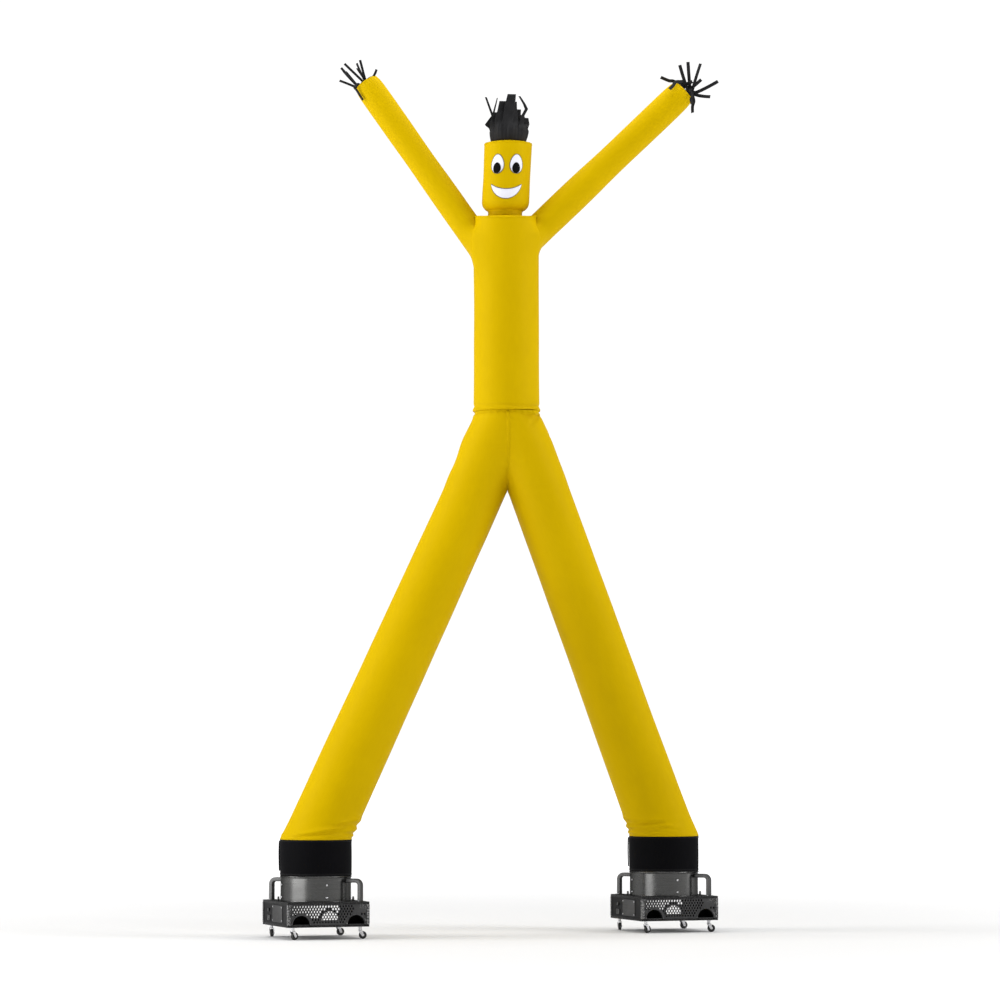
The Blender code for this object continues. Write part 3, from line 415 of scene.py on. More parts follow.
@dataclass(frozen=True)
class Plated:
    """Bright zinc or chrome plate with handling marks."""

    name: str
    colour: Colour
    roughness: float = 0.20

    def make(self) -> bpy.types.Material:
        """Builds the material."""
        board = Board(self.name)
        marks = board.noise(board.place(), 40.0, 4.0)
        fine = board.noise(board.place(), 300.0, 2.0)
        board.set(Base_Color=board.blend(marks.clear(0.4, 0.8), self.colour, shade(self.colour, 0.75)))
        board.set(Metallic=1.0, Roughness=self.roughness + 0.16 * marks)
        board.relief(fine, 0.0002, 0.3)
        return board.owner


@dataclass(frozen=True)
class Rubber:
    """Moulded black rubber with dust on its tread."""

    name: str
    colour: Colour

    def make(self) -> bpy.types.Material:
        """Builds the material."""
        board = Board(self.name)
        grain = board.noise(board.place(), 500.0, 2.0)
        dust = board.noise(board.place(), 60.0, 3.0).clear(0.45, 0.75)
        board.set(Base_Color=board.blend(dust * 0.4, self.colour, (0.10, 0.095, 0.085)))
        board.set(Roughness=0.55 + 0.25 * dust, IOR=1.5)
        board.relief(grain, 0.0004, 0.4)
        return board.owner


@dataclass(frozen=True)
class Floor:
    """A matt pale studio floor that glows a little, more so far out, where the lamps don't reach."""

    name: str
    tone: float
    near: float = 0.05  # glow under the bases
    start: float = 2.0  # where the glow begins to grow
    spread: float = 14.0  # and how far on it is full

    def make(self) -> bpy.types.Material:
        """Builds the material."""
        board = Board(self.name)
        cloudy = board.noise(board.place(), 0.2)
        low, high = (self.tone - 0.01,) * 3, (self.tone,) * 3
        far = board.node("VectorMath", {"operation": "LENGTH"}, {0: board.place()}, "Value")
        out = (far - self.start) / self.spread
        glow = board.blend(out.clear(0.0, 1.0), (self.near,) * 3, (1.0,) * 3)
        board.set(Base_Color=board.blend(cloudy, low, high), Roughness=0.9, Specular_IOR_Level=0.0)
        board.set(Emission_Color=glow, Emission_Strength=1.0)
        return board.owner


Finish = Ripstop | Satin | BrushedSteel | PowderCoat | Plated | Rubber | Floor


class Look(Enum):
    """Every finish of the figure and its bases, each listed with a slot name."""

    YELLOW = (
        "yellow_ripstop",
        Ripstop("yellow_cloth_look", (0.57, 0.378, 0.0), (0.53, 0.348, 0.0), gloss=0.02),
    )
    YELLOW_TAPE = (
        "yellow_ripstop",
        Ripstop("yellow_tape_look", (0.57, 0.378, 0.0), (0.52, 0.342, 0.0), stitched=True, gloss=0.02),
    )
    CUFF = (
        "black_cuff_cloth",
        Ripstop("black_cuff_look", (0.0042, 0.0040, 0.0052), (0.003, 0.003, 0.0036), 0.62, gloss=0.03),
    )
    CUFF_TAPE = (
        "black_cuff_cloth",
        Ripstop(
            "black_tape_look", (0.0055, 0.0053, 0.0065), (0.0035, 0.0035, 0.004), 0.62,
            stitched=True, gloss=0.08,
        ),
    )
    STREAMER = (
        "black_streamer_cloth",
        Ripstop("black_streamer_look", (0.016, 0.016, 0.017), (0.010, 0.010, 0.011), 0.58, crumple=0.002),
    )
    WHITE = (
        "white_face_cloth",
        Ripstop("white_face_look", (0.80, 0.80, 0.86), (0.72, 0.72, 0.80), 0.55, crumple=0.001),
    )
    PUPIL = (
        "black_face_cloth",
        Ripstop("black_face_look", (0.006, 0.005, 0.005), (0.004,) * 3, 0.5, crumple=0.001, gloss=0.03),
    )
    EDGE = ("black_face_cloth", Satin("face_edge_look", (0.09, 0.07, 0.045)))
    DUCT = ("brushed_duct", BrushedSteel("brushed_duct_look", (0.115, 0.115, 0.113), 0.19))
    HANDLE = ("handle_steel", BrushedSteel("handle_look", (0.13,) * 3, 0.42, upright=True))
    COVER = ("cover_steel", BrushedSteel("cover_look", (0.16,) * 3, 0.50))
    COAT = ("coated_steel", PowderCoat("powder_coat_look", (0.0065, 0.0065, 0.007), (0.10,) * 3, 0.6))
    MESH = ("coated_steel", PowderCoat("mesh_coat_look", (0.050, 0.050, 0.051), (0.20,) * 3))
    # near-black sheet finish: painted shade inside the boxes and behind the front arches
    LINING = ("coated_steel", PowderCoat("painted_shade_look", (0.0015,) * 3, (0.004,) * 3, 0.9))
    EDGING = ("coated_steel", PowderCoat("edging_look", (0.045, 0.045, 0.046), (0.30,) * 3, 0.36))
    CATCH = ("catch_steel", Plated("catch_look", (0.10,) * 3, 0.35))
    BRIGHT = ("caster_chrome", Plated("bright_plate_look", (0.72, 0.72, 0.74)))
    TREAD = ("caster_tread", Rubber("tread_look", (0.014,) * 3))

    def material(self) -> bpy.types.Material:
        """The finish's material, made the first time it is asked for."""
        finish = self.value[1]
        return bpy.data.materials.get(finish.name) or finish.make()


# ---------------------------------------------------------------- pieces
def dress(obj: Piece, look: Look, body: str = BODY, nodes: Sequence[str] = ()) -> Piece:
    """Gives a finished piece its material and its body, and hides the CAD nodes that it stands for.

    Args:
        obj: The piece, its place in its mesh.
        look: Its finish.
        body: The body that it rides on.
        nodes: The CAD nodes that it replaces.

    Returns:
        The piece.
    """
    obj.data.materials.clear()
    obj.data.materials.append(look.material())
    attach(obj, body)
    if nodes:
        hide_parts(*nodes)
    LOG.info("%s: %d faces on %s", obj.name, len(obj.data.polygons), body)
    return obj


def deselect() -> None:
    """Deselects everything, so that a new primitive stands alone."""
    for other in bpy.context.selected_objects:
        other.select_set(False)


def settle() -> None:
    """Puts the active object's place, turn and size into its mesh."""
    bpy.ops.object.transform_apply(location=True, rotation=True, scale=True)


def only(obj: Piece) -> None:
    """Selects this object alone and makes it active."""
    deselect()
    obj.select_set(True)
    bpy.context.view_layer.objects.active = obj


def harden(obj: Piece, angle: float = 35.0) -> None:
    """Smooth shading that stays sharp over this angle."""
    only(obj)
    bpy.ops.object.shade_smooth_by_angle(angle=radians(angle))


def fix(obj: Piece, kind: str, **settings: object) -> None:
    """Adds a modifier with these settings and applies it.

    Args:
        obj: The piece.
        kind: The modifier's type.
        **settings: Its attributes.
    """
    only(obj)
    modifier = obj.modifiers.new("step", kind)
    for key, value in settings.items():
        setattr(modifier, key, value)
    bpy.ops.object.modifier_apply(modifier=modifier.name)


def publish(bm: bmesh.types.BMesh, name: str) -> Piece:
    """A new object of the scene from an edited mesh, which is freed."""
    mesh = bpy.data.meshes.new(name)
    bm.to_mesh(mesh)
    bm.free()
    obj = bpy.data.objects.new(name, mesh)
    bpy.context.scene.collection.objects.link(obj)
    return obj


Pair = tuple[float, float]
Marked = tuple[bmesh.types.BMVert, Pair]  # a point with the cloth's metres there


def fill(
    bm: bmesh.types.BMesh, layer: bmesh.types.BMLayerItem, low: Sequence[Marked], high: Sequence[Marked],
    wrap: bool = False,
) -> None:
    """Fills the faces between two rows of marked points, round to the first again where wrap is set."""
    count = len(low)
    for i in range(count if wrap else count - 1):
        n = (i + 1) % count
        corners = (low[i], low[n], high[n], high[i])
        face = bm.faces.new([vert for vert, _ in corners])
        face.smooth = True
        for loop, (_, mark) in zip(face.loops, corners):
            loop[layer].uv = mark


def sheet_mesh(
    name: str,
    rows: Sequence[Sequence[Vector]],
    marks: Sequence[Sequence[Pair]],
    thick: float = CLOTH,
    offset: float = -1.0,
) -> Piece:
    """A cloth skin through rows of points, with its own metres, closed where its edges meet.

    Args:
        name: The piece's name.
        rows: Points, row by row upwards, each row anticlockwise seen from above.
        marks: The cloth's metres at each point.
        thick: Thickness of the cloth, or 0 for a bare skin.
        offset: -1 where the points are the outer side, 1 where they are the inner.

    Returns:
        The new object.
    """
    bm = bmesh.new()
    layer = bm.loops.layers.uv.new("metres")
    grid = [[(bm.verts.new(p), mark) for p, mark in zip(row, own)] for row, own in zip(rows, marks)]
    for low, high in zip(grid, grid[1:]):
        fill(bm, layer, low, high)
    bmesh.ops.remove_doubles(bm, verts=bm.verts[:], dist=1e-5)
    obj = publish(bm, name)
    if thick:
        fix(obj, "SOLIDIFY", thickness=thick, offset=offset, use_even_offset=True)
    return obj


def metres(rows: Sequence[Sequence[Vector]]) -> tuple[list[list[Pair]], float, float]:
    """The cloth's own metres for rows of points.

    Args:
        rows: Points, row by row.

    Returns:
        The marks of every point, the cloth's mean width and its mean length.
    """
    widths = [sum((b - a).length for a, b in zip(row, row[1:])) for row in rows]
    width = sum(widths) / len(widths)
    runs = [0.0]
    last = len(rows[0]) - 1
    picks = sorted({0, last // 4, last // 2, 3 * last // 4})
    for low, high in zip(rows, rows[1:]):
        runs.append(runs[-1] + sum((high[k] - low[k]).length for k in picks) / len(picks))
    marks = []
    for row, run in zip(rows, runs):
        marks.append([(width * i / last, run) for i in range(last + 1)])
    return marks, width, runs[-1]


@dataclass
class Tube:
    """A sewn tube of cloth that air holds open."""

    name: str
    look: Look = Look.YELLOW
    nodes: tuple[str, ...] = ()
    rests: tuple[str, ...] = ()
    columns: int = 72
    thick: float = CLOTH
    offset: float = -1.0
    flip: bool = False  # where turn runs clockwise
    first: float = 0.0  # the turn of the first column, where the cloth closes
    extras: list[Piece] = field(default_factory=list)

    def stations(self) -> list[float]:
        """Where the rows are."""
        raise NotImplementedError

    def spot(self, turn: float, at: float) -> Vector:
        """A point of the plain form: turn from 0 to TAU, at a station."""
        raise NotImplementedError

    def relief(self, turn: float, at: float) -> float:
        """How far folds and seams push the cloth outwards there."""
        return 0.0

    def middle(self, at: float) -> Vector:
        """The tube's middle at a station."""
        return (self.spot(0.0, at) + self.spot(pi, at)) / 2

    def skin(self, turn: float, at: float, lift: float = 0.0) -> Vector:
        """A point of the folded cloth, raised by lift."""
        point = self.spot(turn, at)
        away = point - self.middle(at)
        return point + away.normalized() * (self.relief(turn, at) + lift)

    def build(self) -> Piece:
        """Makes and dresses the cloth."""
        turns = [self.first + TAU * i / self.columns for i in range(self.columns + 1)]
        rows = [[self.skin(turn, at) for turn in turns] for at in self.stations()]
        if self.flip:
            rows = [row[::-1] for row in rows]
        marks, width, length = metres(rows)
        obj = sheet_mesh(self.name, rows, marks, self.thick, self.offset)
        dress(obj, self.look, BODY, self.nodes)
        LOG.info("%s is cut %.3f by %.3f m", self.name, width, length)
        return obj


def tape(
    name: str,
    line: Sequence[Vector],
    side: Sequence[Vector],
    away: Sequence[Vector],
    wide: float,
    tall: float,
    look: Look,
    closed: bool = False,
    crown: int = 4,
) -> Piece:
    """A sewn strip or cord that lies along a line, flat below and crowned above.

    Args:
        name: The piece's name.
        line: Points of its middle.
        side: The way across it at each point.
        away: The way out of the cloth at each point.
        wide: Its width.
        tall: Its height at the middle.
        look: Its finish.
        closed: Whether its ends meet.
        crown: Faces across its upper side.

    Returns:
        The piece, dressed.
    """
    bm = bmesh.new()
    layer = bm.loops.layers.uv.new("metres")
    section = [(-wide / 2, -0.0004)]
    for k in range(crown + 1):
        s = -1 + 2 * k / crown
        section.append((s * wide / 2, tall * (1 - abs(s) ** 3) + 0.0002))
    section.append((wide / 2, -0.0004))
    grid, run = [], 0.0
    for k, (p, s, a) in enumerate(zip(line, side, away)):
        run += (p - line[k - 1]).length if k else 0.0
        grid.append([(bm.verts.new(p + s * x + a * h), (x, run)) for x, h in section])
    if closed:
        run += (line[0] - line[-1]).length
        grid.append([(vert, (x, run)) for vert, (x, _) in grid[0]])
    for low, high in zip(grid, grid[1:]):
        fill(bm, layer, low, high, wrap=True)
    if not closed:
        bm.faces.new([vert for vert, _ in grid[0][::-1]])
        bm.faces.new([vert for vert, _ in grid[-1]])
    bmesh.ops.recalc_face_normals(bm, faces=bm.faces[:])
    obj = publish(bm, name)
    return dress(obj, look)


def ahead_of(line: Sequence[Vector], i: int, closed: bool) -> Vector:
    """The step from the point before a line's point i to the one after it."""
    before = line[i - 1] if closed or i else line[i]
    after = line[(i + 1) % len(line)] if closed or i < len(line) - 1 else line[i]
    return after - before


def tape_on(
    tube: Tube,
    name: str,
    path: Sequence[Pair],
    wide: float,
    tall: float,
    look: Look,
    closed: bool = False,
) -> Piece:
    """A strip along a path on a tube's cloth, added to the tube's extras.

    Args:
        tube: The tube.
        name: The piece's name.
        path: Turns and stations.
        wide: The strip's width.
        tall: Its height at the middle.
        look: Its finish.
        closed: Whether its ends meet.

    Returns:
        The piece.
    """
    line = [tube.skin(turn, at) for turn, at in path]
    away = [(tube.skin(turn, at) - tube.middle(at)).normalized() for turn, at in path]
    ahead = [ahead_of(line, i, closed) for i in range(len(line))]
    side = [way.cross(out).normalized() for way, out in zip(ahead, away)]
    away = [across.cross(way.normalized()).normalized() for across, way in zip(side, ahead)]
    obj = tape(name, line, side, away, wide, tall, look, closed)
    tube.extras.append(obj)
    return obj


# ---------------------------------------------------------------- the figure's cloth
def billow(point: Vector, amount: float = 0.0016, size: float = 0.32) -> float:
    """The low uneven swell of cloth under air."""
    return amount * noise.noise(point / size + Vector((3.1, 7.7, 1.3)))


def pucker(run: float, away: float, amount: float = 0.0012, pitch: float = 0.036) -> float:
    """The small gathers beside a seam: run is metres along it, away is metres from it."""
    uneven = 1 + 0.5 * noise.noise(Vector((run * 9, 0.4, 2.2)))
    wave = sin(TAU * run / pitch + 2 * sin(run * 11))
    return amount * uneven * wave * exp(-abs(away) / 0.045)


@dataclass(frozen=True)
class Crease:
    """A fold pressed into a tube's front, between two places: share of its half width, and height."""

    start: float
    start_z: float
    end: float
    end_z: float
    depth: float = 0.006
    wide: float = 0.013

    def push(self, share: float, z: float) -> float:
        """How far the cloth goes in, and the roll beside the fold goes out."""
        t = (share - self.start) / (self.end - self.start)
        line = self.start_z + (self.end_z - self.start_z) * t
        inside = ease((t + 0.12) / 0.30) * ease((1.12 - t) / 0.30)
        off = z - line
        roll = 0.75 * bump(off - 1.7 * self.wide, 1.2 * self.wide)
        return inside * self.depth * (roll - bump(off, self.wide))


def soft_join(form: float, other: float, reach: float) -> float:
    """The distance to two forms that flow into each other over a reach."""
    return min(form, other) - reach / 4 * max(0.0, 1 - abs(form - other) / reach) ** 2


def web(point: Vector, way: Vector, gap: Callable[[Vector], float], reach: float) -> float:
    """How far the web between two tubes lifts the cloth of one of them.

    Args:
        point: A point of the tube, as across, deep, height.
        way: The way out of it.
        gap: How far a point is from the other tube.
        reach: How far the web spreads.

    Returns:
        The lift.
    """
    first = gap(point)
    if first > reach:
        return 0.0
    if first < 0.0:
        return 0.25 * reach * max(0.0, 1 + first / 0.06)
    lift = 0.0
    for _ in range(8):
        lift -= soft_join(lift, gap(point + way * lift), reach)
    return min(max(lift, 0.0), 0.30 * reach)


LEFT_CREASES = (
    Crease(-0.95, 0.645, 0.45, 0.700, 0.0085, 0.013),
    Crease(0.00, 0.719, 0.85, 0.746, 0.0055, 0.012),
    Crease(0.45, 0.668, 0.98, 0.668, 0.0045, 0.010),
    Crease(-0.62, 3.203, 0.33, 3.203, 0.0016, 0.010),
    Crease(-0.50, 3.232, 0.20, 3.226, 0.0012, 0.010),
)
RIGHT_CREASES = (
    Crease(-0.85, 0.722, -0.22, 0.728, 0.0055, 0.011),
    Crease(-0.58, 0.700, -0.05, 0.690, 0.0060, 0.011),
    Crease(-0.62, 0.668, -0.02, 0.656, 0.0045, 0.010),
    Crease(0.47, 3.352, 1.00, 3.430, 0.0080, 0.016),
    Crease(0.62, 3.262, 1.00, 3.300, 0.0035, 0.018),
    Crease(0.72, 3.400, 1.00, 3.442, 0.0050, 0.012),
)


@dataclass
class Leg(Tube):
    """A leg from its cuff to the waist, open above the crotch where it is sewn to the other."""

    rows: Rows = LEFT_LEG
    other: Rows = RIGHT_LEG
    inner: int = 1
    creases: tuple[Crease, ...] = LEFT_CREASES
    columns: int = 96

    def stations(self) -> list[float]:
        """Close rows at the folds of the ankle and the hips, wider ones between."""
        hips, steps = 2.70, 64
        low = [ANKLE_Z + 0.0055 * i for i in range(34)]
        high = [hips + (WAIST_Z - hips) * i / 110 for i in range(111)]
        middle = [low[-1] + (hips - low[-1]) * i / steps for i in range(1, steps)]
        return low + middle + high

    def opening(self, z: float) -> Pair:
        """The angle at which the leg's edge starts, and its half depth there."""
        deep = read(self.rows, 2, z)
        if z < CROTCH_Z:
            return 0.0, deep
        seam = read(SEAM, 1, z)
        angles = []
        for side in (self.rows, self.other):
            share = abs(seam - read(side, 3, z)) / read(side, 1, z)
            if (seam - read(side, 3, z)) * (1 if side is LEFT_LEG else -1) < 0:
                share = -share
            angles.append(acos(min(max(share, -1.0), 1.0)))
        if z > CROTCH_Z and angles[0] > 1e-4:
            deep *= sum(sin(a) for a in angles) / 2 / sin(angles[0])
        return angles[0], deep

    def spot(self, turn: float, at: float) -> Vector:
        """A point of the leg's plain form."""
        climb = min(max((at - ANKLE_Z) / (CROTCH_Z - ANKLE_Z), 0.0), 1.0)
        yaw = TWIST * climb * climb
        middle = read(self.rows, 3, at) / cos(TWIST - yaw)
        start, deep = self.opening(at)
        angle = start + (TAU - 2 * start) * turn / TAU
        push = read(ANKLE_FOLDS, 1, at) * (0.5 + 0.5 * cos(angle)) ** 2
        out = (read(self.rows, 1, at) + push) * cos(angle) * self.inner
        if at > CROTCH_Z and (turn < 1e-6 or turn > TAU - 1e-6):
            out -= self.inner * GAP / 2
        back = (deep + push) * sin(angle)
        if at > CROTCH_Z and start > 1e-4:
            near = min(angle, TAU - angle) - start
            share = 0.5 * ease((at - CROTCH_Z) / 0.25) * (1 - ease(near / (pi / 2 - start)))
            back += share * copysign(read(self.rows, 2, at) - abs(back), sin(angle))
        return Vector((
            BODY_X + (middle + out) * cos(yaw) + back * sin(yaw),
            -(middle + out) * sin(yaw) + back * cos(yaw),
            at,
        ))

    def middle(self, at: float) -> Vector:
        """The leg's axis."""
        return (self.spot(pi / 2, at) + self.spot(3 * pi / 2, at)) / 2

    def relief(self, turn: float, at: float) -> float:
        """Creases at the ankle and hip, gathers at the seams, and a low swell."""
        start, _ = self.opening(at)
        angle = start + (TAU - 2 * start) * turn / TAU
        share = cos(angle) * self.inner
        front = ease(-sin(angle) / 0.25 + 0.6)
        hind = ease(sin(angle) / 0.25 + 0.6)
        fold = sum(crease.push(share, at) for crease in self.creases)
        fold_behind = sum(crease.push(share * 0.9 + 0.05, at + 0.011) for crease in self.creases)
        run = angle * 0.22
        gathers = pucker(run, at - HEM_Z, 0.0012) + pucker(run, at - WAIST_Z, 0.0022, 0.045)
        gathers -= 0.0100 * bump(WAIST_Z - 0.012 - at, 0.009)
        edge = ease((at - ANKLE_Z) / 0.03) * ease((WAIST_Z + 0.004 - at) / 0.006)
        from_edge = min(turn, TAU - turn)
        seam = pucker(at, from_edge * 0.15, 0.0013, 0.040) if at > CROTCH_Z - 0.02 else 0.0
        calm = 1.0 if at < CROTCH_Z else ease(from_edge / 0.35)
        swell = billow(Vector((share * 0.2, sin(angle) * 0.2 + self.inner * 3, at)), 0.0022)
        folds = fold * front + 0.6 * fold_behind * hind * (1 - front)
        return folds * calm * edge + (gathers + swell) * edge + seam


@dataclass
class Cuff(Tube):
    """A black sleeve that holds the leg over its duct, with a turned flap of hook tape."""

    x: float = 0.0
    look: Look = Look.CUFF
    columns: int = 96

    def stations(self) -> list[float]:
        """Rows from its lower hem to the leg."""
        return [CUFF_LOW + CUFF_TALL * i / 40 for i in range(41)]

    def spot(self, turn: float, at: float) -> Vector:
        """A point of the sleeve."""
        radius = read(CUFF_ROWS, 1, at)
        return Vector((self.x + radius * cos(turn), radius * sin(turn), at))

    def relief(self, turn: float, at: float) -> float:
        """Gathers at both hems, and a low swell between."""
        run = turn * 0.232
        up, left = at - CUFF_LOW, CUFF_ROWS[-1][0] - at
        hems = pucker(run, up, 0.0007, 0.030) + pucker(run, left, 0.0009)
        middle = ease(up / 0.03) * ease(left / 0.03)
        ripple = 0.0010 * sin(3 * turn + 9 * at) * middle
        here = Vector((cos(turn), sin(turn) + self.x, at)) * 0.25
        return hems + ripple + billow(here, 0.0012) * middle


@dataclass
class Torso(Tube):
    """The body's tube, from the waist to its lifted top edge."""

    armholes: Rows = ((0.0, 0.93), (pi, 0.90))  # turn, share of the way up

    def stations(self) -> list[float]:
        """Shares of the way up, close together at both ends."""
        low = [0.12 * i / 30 for i in range(30)]
        middle = [0.12 + 0.60 * i / 36 for i in range(36)]
        return low + middle + [0.72 + 0.28 * i / 50 for i in range(51)]

    def height(self, turn: float, at: float) -> float:
        """How high a share of the way up is."""
        top = SHOULDER_Z + SHOULDER_LIFT * cos(turn) ** 2
        return WAIST_Z + GAP + at * (top - WAIST_Z - GAP)

    def spot(self, turn: float, at: float) -> Vector:
        """A point of the tube's plain form."""
        radius = read(TORSO_ROWS, 1, at)
        return body_point(radius * cos(turn), radius * sin(turn), self.height(turn, at))

    def middle(self, at: float) -> Vector:
        """The torso's axis."""
        return body_point(0.0, 0.0, self.height(pi / 2, at))

    def relief(self, turn: float, at: float) -> float:
        """A tuck over the waist seam, gathers at the seams, soft pulls under the arms and a low swell."""
        z = self.height(turn, at)
        up = z - WAIST_Z
        wander = 0.006 * sin(2 * turn + 0.6)
        tuck = 0.0068 * bump(up - 0.012 - wander * 0.5, 0.010) - 0.0045 * bump(up - 0.036 - wander, 0.008)
        run = turn * TORSO_R
        gathers = pucker(run, up, 0.0016, 0.045) + pucker(run, (1 - at) * TORSO_TALL, 0.0010)
        pulls = 0.0
        for side, height in self.armholes:
            off = remainder(turn - side, TAU)
            drop = (height - at) * TORSO_TALL
            fade = ease(drop / 0.05) * exp(-max(drop, 0.0) / 0.16)
            pulls += 0.0022 * sin(off * 15 + drop * 9) * fade * exp(-(off / 0.85) ** 2)
        ends = ease(at / 0.004) * ease((1 - at) / 0.02)
        here = Vector((cos(turn) * TORSO_R, sin(turn) * TORSO_R, z))
        side = "left" if here.x < 0 else "right"
        way = Vector((cos(turn), sin(turn), 0.0))
        top = web_fade(here)
        lift = web(here, way, lambda p: arm_gap(side, p), web_reach(side, here)) * top if top else 0.0
        return (tuck + gathers + pulls * (1 - top * 0.8) + billow(here, 0.0024)) * ends + lift


@dataclass
class Yoke(Tube):
    """The torso's top panel, from its edge in to the neck."""

    offset: float = 1.0

    def stations(self) -> list[float]:
        """Shares of the way in."""
        return [i / 24 for i in range(25)]

    def spot(self, turn: float, at: float) -> Vector:
        """A point of the panel's inner side."""
        reach = read(TORSO_ROWS, 1, 1.0)
        lift = SHOULDER_LIFT * cos(turn) ** 2 * (1 - at) ** 2
        across = reach * cos(turn) * (1 - at) + at * (NECK_ACROSS + NECK_R * cos(turn))
        deep = (reach * (1 - at) + NECK_R * at) * sin(turn)
        rise = YOKE_RISE * sin(at * pi / 2)
        return body_point(across, deep, SHOULDER_Z + lift + rise + GAP)

    def skin(self, turn: float, at: float, lift: float = 0.0) -> Vector:
        """A point of the panel, its folds running up and down."""
        point = self.spot(turn, at)
        edge = ease(at / 0.1) * ease((1 - at) / 0.1)
        run = turn * 0.16
        folds = pucker(run, at * 0.1, 0.0010) + pucker(run, (1 - at) * 0.1, 0.0010)
        away = Vector((0.0, 0.0, 1.0)) if at > 0.02 else (point - self.middle(at)).normalized()
        return point + Vector((0.0, 0.0, 1.0)) * (folds + billow(point, 0.0020)) * edge + away * lift


ARM_ROWS: dict[str, Rows] = {
    "left": (
        (-0.200, 0.0930), (0.050, 0.0950), (0.300, 0.0940), (0.550, 0.0925), (0.800, 0.0950),
        (0.930, 0.0940), (0.972, 0.0900), (0.992, 0.0830), (1.000, 0.0780),
    ),
    "right": (
        (-0.200, 0.1000), (0.050, 0.1020), (0.300, 0.1010), (0.550, 0.0960), (0.800, 0.0975),
        (0.935, 0.0960), (0.975, 0.0910), (0.993, 0.0830), (1.000, 0.0780),
    ),
}
WEB_REACH = 0.13
WEB_TIGHT = {"left": 0.26, "right": 0.14}  # the share of the reach that is left right under an arm
ARM_INSIDE = -0.15  # how far an arm's own round runs on inside the torso
ARM_ENDS: dict[str, tuple[Vector, Vector]] = {  # root and tip of each axis, as across, deep, height
    "left": (Vector((-0.2175, 0.012, 4.637)), Vector((-0.9450, 0.146, 5.693))),
    "right": (Vector((0.2175, 0.000, 4.682)), Vector((1.1870, -0.034, 5.608))),
}


def arm_gap(side: str, p: Vector) -> float:
    """How far a point, as across, deep, height, is outside an arm."""
    root, tip = ARM_ENDS[side]
    length = (tip - root).length
    along = (tip - root) / length
    run = max((p - root).dot(along), ARM_INSIDE)
    return (p - root - along * run).length - read(ARM_ROWS[side], 1, run / length)


def web_reach(side: str, p: Vector) -> float:
    """How far the web between an arm and the torso spreads: it is tight right under the arm."""
    tight = WEB_TIGHT[side]
    return WEB_REACH * (tight + (1 - tight) * ease(abs(p.y) / 0.11))


def web_fade(p: Vector) -> float:
    """The share of the web at a height: none at the shoulder's edge."""
    return ease((SHOULDER_Z - 0.012 - p.z) / 0.10)


